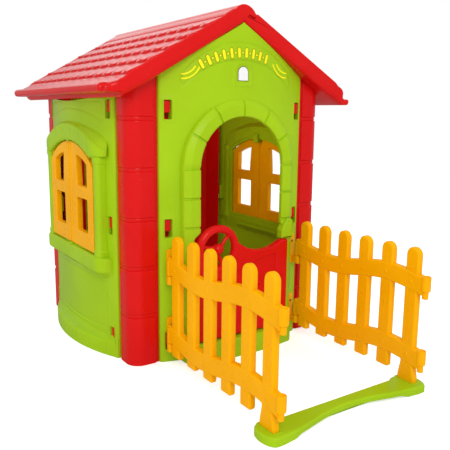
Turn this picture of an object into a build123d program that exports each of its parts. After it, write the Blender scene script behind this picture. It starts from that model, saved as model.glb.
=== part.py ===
"""Plastic playhouse with two yard fences and a ground sill.

The origin is on the floor, in the middle of the whole footprint. +X is to the
right of someone facing the door, +Y goes from the yard to the back of the
house and +Z is up. Lengths are in millimetres.
"""
import os
from math import cos, pi, radians, sin, tan

from build123d import *

os.makedirs("parts", exist_ok=True)

# ---------------------------------------------------------------- house body
overall_length = 1852            # ground sill at the front to the roof at the back
roof_overhang_front = 64         # roof edge ahead of the front wall's chord
roof_length = 1164
house_width = 933                # between the chords of the two side walls
house_depth = 967                # between the chords of the front and back walls
corner_extent = 125              # length of wall line that a corner column takes
wall_thickness = 26
skin = 4                         # skin of the mouldings
flange = 10                      # width of a wall's stiffening edge
front_bow = 56                   # how far the middle of the gables bulges outwards
side_bow = 48                    # how far the middle of the side walls bulges
front_half = house_width / 2 - corner_extent
side_half = house_depth / 2 - corner_extent
back_chord_y = overall_length / 2 - roof_length + roof_overhang_front + house_depth
front_chord_y = back_chord_y - house_depth
side_chord_x = house_width / 2
house_middle_y = (front_chord_y + back_chord_y) / 2

# ---------------------------------------------------------------------- roof
ridge_height = 1388
roof_peak = 1387                 # where the two top slopes would meet
roof_slope = 29.7                # degrees
roof_under_peak = 1321           # where the two undersides meet
under_slope = 30.0
eave_half = 530
eave_bottom = 1017
lip_half = 573
lip_height = 1034
gutter_half = 574                # the left half carries a fuller gutter, set higher
gutter_top = 1080
gutter_bottom = 1046
left_eave_half = 505

# ----------------------------------------------------------- joint clearances
gap = 0.5                        # general gap between pieces that move
peg_fit = 0.05                   # radial running clearance of a peg in its socket

# ------------------------------------------------------------ wall furniture
slot_heights = (89, 540, 989)
slot_width = 30
slot_height = 72
slot_inset = 33
lug_width = 24
lug_height = 44
groove_heights = (200, 389, 578, 767, 956)

arch_half = 197
arch_spring = 768
surround_half = 266
surround_front = 70              # flat front face ahead of the front wall's chord
surround_plate = 18              # thickness of the stones, hollow behind
door_gap_half = 226              # the doorway is wider where the door closes
door_gap_top = 495
plinth_height = 80
plinth_half = 262
plinth_front = 118

door_half = 221
door_bottom = 84
door_thickness = 32
door_front = 90                  # front face ahead of the front wall's chord
door_waist = 427
horn_top = 456
ring_centre_x = -124
ring_centre_z = 449
ring_outer = 98
ring_inner = 68
hub_radius = 24
peg_radius = 6
peg_length = 14

window_half = 236
window_bottom = 436
window_spring = 780
window_rise = 66
leaf_half = 251
leaf_bottom = 418
leaf_spring = 776
leaf_rise = 83
leaf_thickness = 26
leaf_front = 52                  # front face outside the side wall's chord
bay_front = 44
bay_plate = 14
pane_inner = 74
pane_outer = 192
pane_low = (486, 626)
pane_high = (676, 772)
pane_high_inner = 806
leaf_peg_radius = 4
leaf_peg_length = 12            # lower peg; the upper one reaches leaf_peg_top
leaf_peg_top = 812
pocket_spring = 790             # rebate in the side wall round the two leaves
pocket_rise = 69
pilaster_half = 25
pilaster_offset = 281
hood_half = 333
hood_bottom = 803
hood_top = 951
hood_front = 62
sill_low = 345
sill_high = 412
sill_front = 64
base_height = 66
base_proud = 16
side_base_bow = 88               # the foot of a side wall bulges more than the wall

fence_x = 317
picket_first = 99
picket_pitch = 114
picket_count = 6
picket_width = 56
picket_thick = 27
picket_chamfer = 6
picket_low = 49
picket_high = 524
foot_low = 15
foot_width = 74
foot_flare = 44                  # height where the foot reaches its full width
rail_thick = 30
rail_height = 66
rail_wave = 19                   # height of the rails' wave above its middle
wave_length = 600
wave_zero = 410                  # distance from the house where the wave rises through zero
link_outer = 17
pin_radius = 11
link_height = 34
link_floor = 6
pin_length = 28
link_reach = 54                  # from the sixth picket's middle to the outer link
knuckle_y = 47                   # house-side knuckle axis ahead of the chord
bracket_x = 301
bracket_width = 34
bracket_height = 132
bracket_thick = 8
bracket_low = (56, 328)
screw_above = 99                 # screw height above a bracket's lower end
screw_radius = 3
rail_middle = (124, 394)

bar_half = 360                   # half length of the ground sill
bar_height = 29
bar_back = 635                   # back edge ahead of the front wall's chord
pad_back = 623                   # back edge of the wide ends
bar_front = 734


# ------------------------------------------------------------------- helpers
def bowed(draw, half, bow, inner, outer):
    """A profile drawn on the XZ plane, pushed through the wall and kept between
    two surfaces that follow the wall's bow. Outwards is -Y and the chord is y=0."""
    radius = (half**2 + bow**2) / (2 * bow)
    with BuildPart() as piece:
        with BuildSketch(Plane.XZ):
            draw()
        extrude(amount=160, both=True)
        with BuildSketch(Plane.XY.offset(-20)):
            with Locations((0, radius - bow)):
                Circle(radius + outer)
                Circle(radius + inner, mode=Mode.SUBTRACT)
        extrude(amount=1500, mode=Mode.INTERSECT)
    return piece.part


def gable_bowed(draw, inner, outer):
    return bowed(draw, front_half, front_bow, inner, outer)


def side_bowed(draw, inner, outer):
    return bowed(draw, side_half, side_bow, inner, outer)


def block(draw, back, front):
    """A profile drawn on the XZ plane, extruded from y=-back to y=-front."""
    with BuildPart() as piece:
        with BuildSketch(Plane.XZ.offset(back)):
            draw()
        extrude(amount=front - back)
    return piece.part


def polygon(*points):
    with BuildLine() as outline:
        Polyline(*points, close=True)
    make_face(outline.edges())


def rectangle(x0, x1, z0, z1, mode=Mode.ADD):
    with Locations(((x0 + x1) / 2, (z0 + z1) / 2)):
        Rectangle(x1 - x0, z1 - z0, mode=mode)


def arch(half, spring, rise, bottom):
    """An opening with straight sides and an arched top."""
    with BuildLine() as outline:
        Polyline((-half, spring), (-half, bottom), (half, bottom), (half, spring))
        ThreePointArc((half, spring), (0, spring + rise), (-half, spring))
    make_face(outline.edges())


def arch_band(half_out, half_in, spring, rise_out, rise_in, bottom):
    """The strip between two arches that share a springing line."""
    with BuildLine() as outline:
        Line((-half_out, bottom), (-half_out, spring))
        ThreePointArc((-half_out, spring), (0, spring + rise_out), (half_out, spring))
        Polyline((half_out, spring), (half_out, bottom), (half_in, bottom), (half_in, spring))
        ThreePointArc((half_in, spring), (0, spring + rise_in), (-half_in, spring))
        Polyline((-half_in, spring), (-half_in, bottom), (-half_out, bottom))
    make_face(outline.edges())


def under_line(x):
    """Height of the roof's underside above a point."""
    return roof_under_peak - abs(x) * tan(radians(under_slope))


def top_line(x):
    """Height of the roof's top face above a point."""
    return roof_peak - abs(x) * tan(radians(roof_slope))


def slots(half):
    """The openings near a wall's two upright edges that take the column lugs."""
    with Locations(*[(side * (half - slot_inset), z) for z in slot_heights for side in (-1, 1)]):
        RectangleRounded(slot_width, slot_height, 5)


# ---------------------------------------------------------------- front wall
def gable():
    polygon((-front_half, 0), (front_half, 0), (front_half, under_line(front_half) - 1),
            (0, under_line(0) - 1), (-front_half, under_line(front_half) - 1))


def gable_tray():
    """The inside of a gable, within its stiffening edge."""
    edge = front_half - flange
    top = under_line(edge) - flange - 4
    polygon((-edge, flange), (edge, flange), (edge, top), (0, under_line(0) - flange - 4), (-edge, top))


def surround():
    arch_band(surround_half, arch_half, arch_spring, surround_half, arch_half, 0)


def surround_hollow():
    inside = surround_half - skin
    arch(inside, arch_spring, inside, -1)


def doorway():
    """The arched opening, which widens where the half door closes."""
    with BuildLine() as outline:
        Polyline((-arch_half, arch_spring), (-arch_half, door_gap_top + 30),
                 (-door_gap_half, door_gap_top), (-door_gap_half, plinth_height),
                 (door_gap_half, plinth_height), (door_gap_half, door_gap_top),
                 (arch_half, door_gap_top + 30), (arch_half, arch_spring))
        ThreePointArc((arch_half, arch_spring), (0, arch_spring + arch_half), (-arch_half, arch_spring))
    make_face(outline.edges())


def stone_joints():
    """Narrow grooves between the stones of the doorway."""
    middle = (arch_half + surround_half) / 2
    for side in (-1, 1):
        for course in range(3):
            z = arch_spring - course * 113
            rectangle(side * middle - 40, side * middle + 40, z - 3, z + 3)
    with Locations((0, arch_spring)):
        with PolarLocations(middle, 5, start_angle=30, angular_range=120, endpoint=True):
            Rectangle(80, 6)


def plinth():
    rectangle(-plinth_half, plinth_half, 0, plinth_height)


def plinth_hollow():
    rectangle(skin - plinth_half, plinth_half - skin, -1, plinth_height - skin)


def banner():
    """The raised arched banner on the gable."""
    with BuildLine() as outline:
        ThreePointArc((-262, 1118), (0, 1246), (262, 1118))
        ThreePointArc((262, 1118), (256, 1088), (230, 1096))
        ThreePointArc((230, 1096), (0, 1180), (-230, 1096))
        ThreePointArc((-230, 1096), (-256, 1088), (-262, 1118))
    make_face(outline.edges())


gable_plate = gable_bowed(gable, -wall_thickness, 0)
gable_inside = gable_bowed(gable_tray, -wall_thickness - 5, -skin)
gable_slots = block(lambda: slots(front_half), -60, 100)
surround_block = block(surround, -10, surround_front)
surround_inside = block(surround_hollow, -60, surround_front - surround_plate)
joint_grooves = block(stone_joints, surround_front - 4, surround_front + 5)
doorway_cut = block(doorway, -60, 150)
banner_relief = gable_bowed(banner, -2, 4)
plaque_pocket = gable_bowed(lambda: arch(35, 1133, 35, 1090), -3, 10)
plinth_block = gable_bowed(plinth, -wall_thickness, plinth_front - front_bow)
plinth_inside = gable_bowed(plinth_hollow, -wall_thickness - 5, plinth_front - front_bow - skin)

door_pin_x = door_half - door_thickness / 2
door_pin_y = -(door_front - door_thickness / 2)
hinge_block_low = horn_top + 3
hinge_block_high = 540

with BuildPart() as front_shell:
    add(gable_plate)
    add(gable_inside, mode=Mode.SUBTRACT)
    add(banner_relief)
    add(surround_block)
    add(surround_inside, mode=Mode.SUBTRACT)
    add(plinth_block)
    add(plinth_inside, mode=Mode.SUBTRACT)
    add(doorway_cut, mode=Mode.SUBTRACT)
    add(joint_grooves, mode=Mode.SUBTRACT)
    add(gable_slots, mode=Mode.SUBTRACT)
    add(plaque_pocket, mode=Mode.SUBTRACT)
    # Holes for the bracket screws.
    with BuildSketch(Plane.XZ):
        with Locations(*[(side * bracket_x, low + screw_above) for low in bracket_low for side in (-1, 1)]):
            Circle(screw_radius + 0.05)
    extrude(amount=60, mode=Mode.SUBTRACT)
    # Jamb block over the door's hinge horn, with the upper peg's socket.
    with BuildSketch(Plane.XY.offset(hinge_block_low)):
        with Locations((door_pin_x + 18, -surround_front + 2)):
            Rectangle(60, 36)
    extrude(amount=hinge_block_high - hinge_block_low)
    # Boss under the step that backs the lower peg's socket.
    with BuildSketch(Plane.XY.offset(plinth_height - skin - 18)):
        with Locations((door_pin_x, door_pin_y)):
            Circle(14)
    extrude(amount=19)
    for socket_low in (plinth_height - peg_length - 2, hinge_block_low - 1):
        with BuildSketch(Plane.XY.offset(socket_low)):
            with Locations((door_pin_x, door_pin_y)):
                Circle(peg_radius + peg_fit)
        extrude(amount=peg_length + 3, mode=Mode.SUBTRACT)

with BuildPart() as front_wall:
    with Locations((0, front_chord_y, 0)):
        add(front_shell.part)


# ----------------------------------------------------------------- back wall
back_groove_outer = gable_bowed(lambda: arch(230, 820, 150, 150), -2, 5)
back_groove_inner = gable_bowed(lambda: arch(226, 819, 147, 154), -3, 6)
back_base = gable_bowed(lambda: rectangle(-front_half + 30, front_half - 30, 0, base_height),
                        -skin, base_proud)

with BuildPart() as back_groove:
    add(back_groove_outer)
    add(back_groove_inner, mode=Mode.SUBTRACT)

with BuildPart() as back_shell:
    add(gable_plate)
    add(gable_inside, mode=Mode.SUBTRACT)
    add(back_base)
    add(back_groove.part, mode=Mode.SUBTRACT)
    add(gable_slots, mode=Mode.SUBTRACT)

with BuildPart() as back_wall:
    with Locations(Location((0, back_chord_y, 0), (0, 0, 180))):
        add(back_shell.part)


# ---------------------------------------------------------------- side walls
side_top = under_line(side_chord_x) - 1


def side_outline():
    rectangle(-side_half, side_half, 0, side_top + 20)


def side_tray():
    """The inside of a side wall, within its stiffening edge."""
    edge = side_half - flange
    rectangle(-edge, edge, flange, side_top - 26)


def window_hole():
    arch(window_half, window_spring, window_rise, window_bottom)


def leaf_pocket():
    """The rebate that the two leaves close into."""
    arch(leaf_half + 3, pocket_spring, pocket_rise, leaf_bottom - 2)


def bay():
    """The flat-fronted frame that carries the window."""
    arch(pilaster_offset, window_spring + 4, 120, sill_low + 20)


def hood():
    """The arched brow over the window."""
    with BuildLine() as outline:
        ThreePointArc((-hood_half, hood_bottom + 34), (0, hood_top), (hood_half, hood_bottom + 34))
        Polyline((hood_half, hood_bottom + 34), (hood_half, hood_bottom),
                 (leaf_half + 3, hood_bottom), (leaf_half + 3, pocket_spring))
        ThreePointArc((leaf_half + 3, pocket_spring), (0, pocket_spring + pocket_rise),
                      (-leaf_half - 3, pocket_spring))
        Polyline((-leaf_half - 3, pocket_spring), (-leaf_half - 3, hood_bottom),
                 (-hood_half, hood_bottom), (-hood_half, hood_bottom + 34))
    make_face(outline.edges())


def hood_slope():
    """The wedge that the hood's top sheds back to the wall."""
    with BuildLine() as outline:
        ThreePointArc((-hood_half, hood_bottom + 10), (0, hood_top - 26), (hood_half, hood_bottom + 10))
        Polyline((hood_half, hood_bottom + 10), (hood_half + 9, 1020), (-hood_half - 9, 1020),
                 (-hood_half, hood_bottom + 10))
    make_face(outline.edges())


def bead_groove(draw_outer, draw_inner):
    """A fine outline moulded into a side wall, as a groove between two profiles."""
    with BuildPart() as piece:
        add(side_bowed(draw_outer, -2, 4))
        add(side_bowed(draw_inner, -3, 5), mode=Mode.SUBTRACT)
    return piece.part


side_plate = side_bowed(side_outline, -wall_thickness, 0)
side_inside = side_bowed(side_tray, -wall_thickness - 5, -skin)
side_slots = block(lambda: slots(side_half), -60, 100)
bay_block = block(bay, -10, bay_front)
bay_inside = block(lambda: arch(pilaster_offset - 10, window_spring, 108, sill_low + 30),
                   -60, bay_front - bay_plate)
hood_block = block(hood, 10, hood_front)
hood_shed = block(hood_slope, bay_front + 8, hood_front + 10)
window_cut = block(window_hole, -100, 120)
pocket_cut = block(leaf_pocket, leaf_front - leaf_thickness - 2, 120)
with BuildPart() as above_side:
    with BuildSketch(Plane.YZ):
        polygon((60, under_line(side_chord_x - 60) - 1), (-100, under_line(side_chord_x + 100) - 1),
                (-100, 1200), (60, 1200))
    extrude(amount=400, both=True)

low_panel_groove = bead_groove(lambda: rectangle(-290, 290, 96, 318), lambda: rectangle(-286, 286, 100, 314))
high_panel_groove = bead_groove(lambda: rectangle(-290, 290, 936, 1022), lambda: rectangle(-286, 286, 940, 1018))
side_foot = bowed(lambda: rectangle(-side_half + 2, side_half - 2, 0, base_height),
                  side_half, side_base_bow, -side_base_bow + side_bow - 3, 0)
foot_limit = block(lambda: rectangle(-side_half, side_half, -10, base_height + 10), -200, -wall_thickness - 1)

leaf_pin_y = leaf_half - leaf_thickness / 2
leaf_pin_depth = leaf_front - leaf_thickness / 2
leaf_side_top = leaf_spring - 13

with BuildPart() as side_shell:
    add(side_plate)
    add(side_foot)
    add(foot_limit, mode=Mode.SUBTRACT)
    add(side_inside, mode=Mode.SUBTRACT)
    add(low_panel_groove, mode=Mode.SUBTRACT)
    add(high_panel_groove, mode=Mode.SUBTRACT)
    add(bay_block)
    add(bay_inside, mode=Mode.SUBTRACT)
    add(hood_block)
    add(hood_shed, mode=Mode.SUBTRACT)
    # Pilasters with rounded edges at both sides of the window.
    with BuildSketch(Plane.XY.offset(sill_high)):
        with Locations((-pilaster_offset, -26), (pilaster_offset, -26)):
            RectangleRounded(2 * pilaster_half, 2 * pilaster_half, 17)
    extrude(amount=hood_bottom - sill_high)
    # Rings at the pilasters' heads and feet.
    for ring_low in (sill_high, hood_bottom - 24):
        with BuildSketch(Plane.XY.offset(ring_low)):
            with Locations((-pilaster_offset, -26), (pilaster_offset, -26)):
                RectangleRounded(2 * pilaster_half + 7, 2 * pilaster_half + 7, 20)
        extrude(amount=24)
    # Window sill.
    with BuildSketch(Plane.XY.offset(sill_low)):
        with Locations((0, -sill_front / 2)):
            RectangleRounded(2 * hood_half, sill_front, 22)
    extrude(amount=sill_high - sill_low)
    with BuildSketch(Plane.XY.offset(sill_low - 26)):
        with Locations((0, -sill_front / 2 + 10)):
            RectangleRounded(2 * hood_half - 50, sill_front - 24, 14)
    extrude(amount=26)
    add(window_cut, mode=Mode.SUBTRACT)
    add(pocket_cut, mode=Mode.SUBTRACT)
    add(side_slots, mode=Mode.SUBTRACT)
    add(above_side.part, mode=Mode.SUBTRACT)
    # Sockets of the leaves' pegs: up into the hood and down into the sill.
    for low, high in ((leaf_bottom - leaf_peg_length - 2, leaf_bottom), (leaf_peg_top - 20, leaf_peg_top + 2)):
        with BuildSketch(Plane.XY.offset(low)):
            with Locations((-leaf_pin_y, -leaf_pin_depth), (leaf_pin_y, -leaf_pin_depth)):
                Circle(leaf_peg_radius + peg_fit)
        extrude(amount=high - low, mode=Mode.SUBTRACT)

with BuildPart() as left_wall:
    with Locations(Location((-side_chord_x, house_middle_y, 0), (0, 0, -90))):
        add(side_shell.part)

with BuildPart() as right_wall:
    with Locations(Location((side_chord_x, house_middle_y, 0), (0, 0, 90))):
        add(side_shell.part)


# ------------------------------------------------------------ corner columns
column_set_back = 4              # main faces behind the walls' chords
strip_set_back = 12              # narrow strips beside the walls
column_round = 56
column_inner = strip_set_back + wall_thickness
column_edge = corner_extent - gap
column_top = 1135
tongue_back = 36
tongue_thick = 7
groove_depth = 3.5
groove_half = 8
groove_floor = column_set_back + groove_depth
core_corner = groove_floor + skin


def column_outline():
    """Plan of a corner column; the chords of the two walls are x=0 and y=0."""
    step = column_edge - 12
    face = column_set_back
    with BuildLine() as outline:
        Polyline((column_edge, column_inner), (column_edge, strip_set_back), (step, strip_set_back),
                 (step - 6, face), (face + column_round, face))
        RadiusArc((face + column_round, face), (face, face + column_round), column_round)
        Polyline((face, face + column_round), (face, step - 6), (strip_set_back, step),
                 (strip_set_back, column_edge), (column_inner, column_edge),
                 (column_inner, column_inner + 26), (column_inner + 26, column_inner),
                 (column_edge, column_inner))
    make_face(outline.edges())


with BuildPart() as column_shell:
    with BuildSketch():
        column_outline()
    extrude(amount=column_top)
    # Hollow core, open at the foot.
    with BuildSketch(Plane.XY):
        with Locations((core_corner + column_edge, core_corner + column_edge)):
            RectangleRounded(2 * column_edge, 2 * column_edge, column_round - skin)
        with BuildLine() as core_limit:
            Polyline((0, 0), (column_edge - 2 * skin, 0), (column_edge - 2 * skin, column_inner - skin),
                     (column_inner + 23, column_inner - skin), (column_inner - skin, column_inner + 23),
                     (column_inner - skin, column_edge - 2 * skin), (0, column_edge - 2 * skin), close=True)
        make_face(core_limit.edges(), mode=Mode.INTERSECT)
    extrude(amount=under_line(side_chord_x) - skin, mode=Mode.SUBTRACT)
    # Ring grooves round the outside.
    for groove in groove_heights:
        with BuildSketch(Plane.XY.offset(groove - groove_half)):
            column_outline()
            with Locations((groove_floor + column_edge, groove_floor + column_edge)):
                RectangleRounded(2 * column_edge, 2 * column_edge, column_round - groove_depth,
                                 mode=Mode.SUBTRACT)
        extrude(amount=2 * groove_half, mode=Mode.SUBTRACT)
    # Tongues behind the two walls, with the lugs that hook through their slots.
    with BuildSketch(Plane.XY.offset(20)):
        with Locations((column_edge - 10, tongue_back - tongue_thick)):
            Rectangle(68, tongue_thick, align=Align.MIN)
        with Locations((tongue_back - tongue_thick, column_edge - 10)):
            Rectangle(tongue_thick, 68, align=Align.MIN)
    extrude(amount=1010)
    lug_middle = corner_extent + slot_inset
    for slot_z in slot_heights:
        with BuildSketch(Plane.XY.offset(slot_z + slot_height / 2 - 3 - lug_height)):
            with Locations((lug_middle, 13)):
                Rectangle(lug_width, 40)
            with Locations((13, lug_middle)):
                Rectangle(40, lug_width)
        extrude(amount=lug_height)
    # The top follows the roof's underside.
    with BuildSketch(Plane.XZ.offset(-200)):
        with BuildLine() as above_roof:
            Polyline((-50, under_line(side_chord_x + 50) - 1), (300, under_line(side_chord_x - 300) - 1),
                     (300, 1400), (-50, 1400), close=True)
        make_face(above_roof.edges())
    extrude(amount=250, mode=Mode.SUBTRACT)

with BuildPart() as column_front_left:
    with Locations((-side_chord_x, front_chord_y, 0)):
        add(column_shell.part)

front_mirror = Plane.XZ.offset(-house_middle_y)

with BuildPart() as column_front_right:
    mirror(column_front_left.part, about=Plane.YZ)

with BuildPart() as column_back_left:
    mirror(column_front_left.part, about=front_mirror)

with BuildPart() as column_back_right:
    mirror(column_back_left.part, about=Plane.YZ)


# ---------------------------------------------------------------------- roof
roof_front_y = front_chord_y - roof_overhang_front


def eave_outline(start):
    """The outside of the right roof half, from the ridge to the gutter lip."""
    with BuildLine() as outline:
        Line(start, (516, top_line(516)))
        ThreePointArc((516, top_line(516)), (534, 1076), (531, 1052))
        Line((531, 1052), (548, 1043))
        Line((548, 1043), (lip_half - 7, 1042))
        ThreePointArc((lip_half - 7, 1042), (lip_half - 2, 1039.5), (lip_half, lip_height))
        Line((lip_half, lip_height), (lip_half - 3, eave_bottom + 8))
        ThreePointArc((lip_half - 3, eave_bottom + 8), (lip_half - 6, eave_bottom + 3),
                      (lip_half - 11, eave_bottom + 1))
        Line((lip_half - 11, eave_bottom + 1), (eave_half, eave_bottom))
    return outline.edges()


with BuildPart() as roof_right:
    with BuildSketch(Plane.XZ.offset(-roof_front_y)):
        with BuildLine() as ridge_side:
            Polyline((eave_half, eave_bottom), (0.4, under_line(0.4) + 0.2), (20.4, 1350), (48, 1338.5),
                     (60, top_line(60)))
        make_face(eave_outline((60, top_line(60))) + ridge_side.edges())
    extrude(amount=-roof_length)
    with BuildSketch(Plane.XZ.offset(-roof_front_y - skin)):
        polygon((34, 1330), (34, 1335), (80, top_line(80) - skin - 1), (512, top_line(512) - skin - 1),
                (512, under_line(512) + skin + 1), (50, under_line(50) + skin + 1))
    extrude(amount=-roof_length + 2 * skin, mode=Mode.SUBTRACT)

def gutter_outline(start):
    """The outside of the left roof half, drawn on the right, from the ridge to the gutter."""
    with BuildLine() as outline:
        Polyline(start, (516, top_line(516)), (537, gutter_top + 1), (gutter_half - 14, gutter_top))
        ThreePointArc((gutter_half - 14, gutter_top), (gutter_half - 3, gutter_top - 5),
                      (gutter_half, gutter_top - 15))
        Line((gutter_half, gutter_top - 15), (gutter_half - 4, gutter_bottom + 7))
        ThreePointArc((gutter_half - 4, gutter_bottom + 7), (gutter_half - 8, gutter_bottom + 2),
                      (gutter_half - 16, gutter_bottom))
        Polyline((gutter_half - 16, gutter_bottom), (left_eave_half + 9, gutter_bottom),
                 (left_eave_half + 6, gutter_bottom - 12), (left_eave_half, under_line(left_eave_half)))
    return outline.edges()


with BuildPart() as roof_left:
    with BuildSketch(Plane.XZ.offset(-roof_front_y)):
        with BuildLine() as ridge_roll:
            ThreePointArc((60, top_line(60)), (4, ridge_height), (-50, 1350))
            Polyline((-50, 1350), (-48, 1341), (-20, 1350.5), (0, under_line(0)),
                     (left_eave_half, under_line(left_eave_half)))
        make_face(gutter_outline((60, top_line(60))) + ridge_roll.edges())
        mirror(about=Plane.YZ, mode=Mode.REPLACE)
    extrude(amount=-roof_length)
    with BuildSketch(Plane.XZ.offset(-roof_front_y - skin)):
        polygon((-26, 1338), (-26, 1348), (-80, top_line(80) - skin - 1), (-500, top_line(500) - skin - 1),
                (-500, under_line(500) + skin + 1), (-50, under_line(50) + skin + 1))
    extrude(amount=-roof_length + 2 * skin, mode=Mode.SUBTRACT)


# ----------------------------------------------------------------- half door
def door_outline():
    blend = radians(15)
    blend_x = ring_centre_x + ring_outer * cos(blend)
    blend_z = ring_centre_z + ring_outer * sin(blend)
    with BuildLine() as outline:
        Polyline((-door_half, door_bottom), (door_half, door_bottom), (door_half, horn_top),
                 (door_half - 36, horn_top))
        ThreePointArc((door_half - 36, horn_top), (67, door_waist), (blend_x, blend_z))
        ThreePointArc((blend_x, blend_z), (ring_centre_x, ring_centre_z + ring_outer),
                      (ring_centre_x - ring_outer, ring_centre_z))
        Polyline((ring_centre_x - ring_outer, ring_centre_z), (-door_half, ring_centre_z),
                 (-door_half, door_bottom))
    make_face(outline.edges())


door_middle = door_front - door_thickness / 2
spoke_width = 15
spoke_thick = 16


def spokes():
    """Three curved spokes of the steering wheel, from the hub to the ring."""
    for angle in (45, 165, 285):
        path = [(radius, radians(angle + turn)) for radius, turn in ((12, 0), (46, 22), (76, 19))]
        with BuildLine() as spoke:
            ThreePointArc(*[(ring_centre_x + radius * cos(turn), ring_centre_z + radius * sin(turn))
                            for radius, turn in path])
        trace(spoke.line, line_width=spoke_width)


with BuildPart() as door_leaf:
    with BuildSketch(Plane.XZ.offset(door_front - door_thickness)):
        door_outline()
        with Locations((ring_centre_x, ring_centre_z)):
            Circle(ring_inner, mode=Mode.SUBTRACT)
    extrude(amount=door_thickness)
    fillet(door_leaf.edges().filter_by(Axis.Z).group_by(Axis.X)[-1], door_thickness / 2 - 0.2)
    ring_edges = [edge for edge in door_leaf.edges().filter_by(GeomType.CIRCLE)
                  if abs(edge.radius - ring_inner) < 0.01]
    fillet(ring_edges, 12)
    # Recessed middle of the outer face.
    with BuildSketch(Plane.XZ.offset(door_front)):
        polygon((-190, 116), (150, 116), (150, 392), (30, 392), (-10, 330), (-190, 330))
    extrude(amount=-4, mode=Mode.SUBTRACT)
    # Open back.
    with BuildSketch(Plane.XZ.offset(door_front - door_thickness)):
        polygon((-208, 97), (176, 97), (176, 405), (30, 405), (-24, 334), (-208, 334))
    extrude(amount=door_thickness - 4 - skin, mode=Mode.SUBTRACT)
    # Spokes and hub of the steering wheel.
    with BuildSketch(Plane.XZ.offset(door_middle - spoke_thick / 2)):
        spokes()
    extrude(amount=spoke_thick)
    with BuildSketch(Plane.XZ.offset(door_middle - 13)):
        with Locations((ring_centre_x, ring_centre_z)):
            Circle(hub_radius)
    extrude(amount=26)
    for peg_low in (door_bottom - peg_length, horn_top - 1):
        with BuildSketch(Plane.XY.offset(peg_low)):
            with Locations((door_pin_x, door_pin_y)):
                Circle(peg_radius)
        extrude(amount=peg_length + 1)

with BuildPart() as door:
    with Locations((0, front_chord_y, 0)):
        add(door_leaf.part)


# ------------------------------------------------------------- window leaves
def leaf_outline():
    """One leaf: the right-hand half of the arched window."""
    clear = 1.0
    with BuildLine() as outline:
        Polyline((clear, leaf_spring + leaf_rise - 4), (clear, leaf_bottom), (leaf_half, leaf_bottom),
                 (leaf_half, leaf_side_top))
        ThreePointArc((leaf_half, leaf_side_top), (leaf_half * 0.53, leaf_spring + leaf_rise * 0.68),
                      (clear, leaf_spring + leaf_rise - 4))
    make_face(outline.edges())


def panes():
    rectangle(pane_inner, pane_outer, *pane_low)
    with BuildLine() as upper:
        Polyline((pane_inner, pane_high[0]), (pane_outer, pane_high[0]), (pane_outer, pane_high[1]))
        ThreePointArc((pane_outer, pane_high[1]), ((pane_inner + pane_outer) / 2, pane_high_inner - 12),
                      (pane_inner, pane_high_inner))
        Line((pane_inner, pane_high_inner), (pane_inner, pane_high[0]))
    make_face(upper.edges())


with BuildPart() as leaf_blank:
    with BuildSketch(Plane.XZ.offset(leaf_front - leaf_thickness)):
        leaf_outline()
    extrude(amount=leaf_thickness)
    fillet(leaf_blank.edges().filter_by(Axis.Z).group_by(Axis.X)[-1], leaf_thickness / 2 - 0.2)
    with BuildSketch(Plane.XZ.offset(leaf_front - leaf_thickness)):
        panes()
    extrude(amount=leaf_thickness, mode=Mode.SUBTRACT)
    # Raised meeting strip.
    with BuildSketch(Plane.XZ.offset(leaf_front)):
        rectangle(8, 16, leaf_bottom + 6, leaf_spring + leaf_rise - 14)
    extrude(amount=1.5)
    for low, high in ((leaf_bottom - leaf_peg_length, leaf_bottom + 3), (leaf_side_top - 8, leaf_peg_top)):
        with BuildSketch(Plane.XY.offset(low)):
            with Locations((leaf_pin_y, -leaf_pin_depth)):
                Circle(leaf_peg_radius)
        extrude(amount=high - low)

with BuildPart() as right_wall_rear_leaf:
    with Locations(Location((side_chord_x, house_middle_y, 0), (0, 0, 90))):
        add(leaf_blank.part)

with BuildPart() as right_wall_front_leaf:
    mirror(right_wall_rear_leaf.part, about=front_mirror)

with BuildPart() as left_wall_rear_leaf:
    mirror(right_wall_rear_leaf.part, about=Plane.YZ)

with BuildPart() as left_wall_front_leaf:
    mirror(right_wall_front_leaf.part, about=Plane.YZ)


# -------------------------------------------------------------------- fences
last_picket = picket_first + (picket_count - 1) * picket_pitch
link_at = last_picket + link_reach


def wave(distance, middle):
    """Height of a rail's middle line, at a distance ahead of the house."""
    return middle + rail_wave * sin(2 * pi * (distance - wave_zero) / wave_length)


def rail_outline(middle, start, end):
    """A wavy strip; the first coordinate is the distance ahead of the house."""
    stations = [start + (end - start) * i / 12 for i in range(13)]
    low = [(at, wave(at, middle) - rail_height / 2) for at in stations]
    high = [(at, wave(at, middle) + rail_height / 2) for at in reversed(stations)]
    with BuildLine() as outline:
        Spline(*low)
        Line(low[-1], high[0])
        Spline(*high)
        Line(high[-1], low[0])
    make_face(outline.edges())


fence_plane = Plane(origin=(fence_x, front_chord_y, 0), x_dir=(0, -1, 0), z_dir=(-1, 0, 0))

with BuildPart() as pickets:
    with BuildSketch(fence_plane):
        for number in range(picket_count):
            middle = picket_first + number * picket_pitch
            rectangle(middle - picket_width / 2, middle + picket_width / 2,
                      picket_low, picket_high - picket_width / 2)
            with Locations((middle, picket_high - picket_width / 2)):
                Circle(picket_width / 2)
        polygon((last_picket - picket_width / 2, 90), (last_picket - foot_width / 2, foot_flare),
                (last_picket - foot_width / 2, foot_low), (last_picket + foot_width / 2, foot_low),
                (last_picket + foot_width / 2, foot_flare), (last_picket + picket_width / 2, 90))
    extrude(amount=picket_thick / 2, both=True)
    chamfer(pickets.faces().filter_by(Axis.X).edges(), picket_chamfer)

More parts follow.
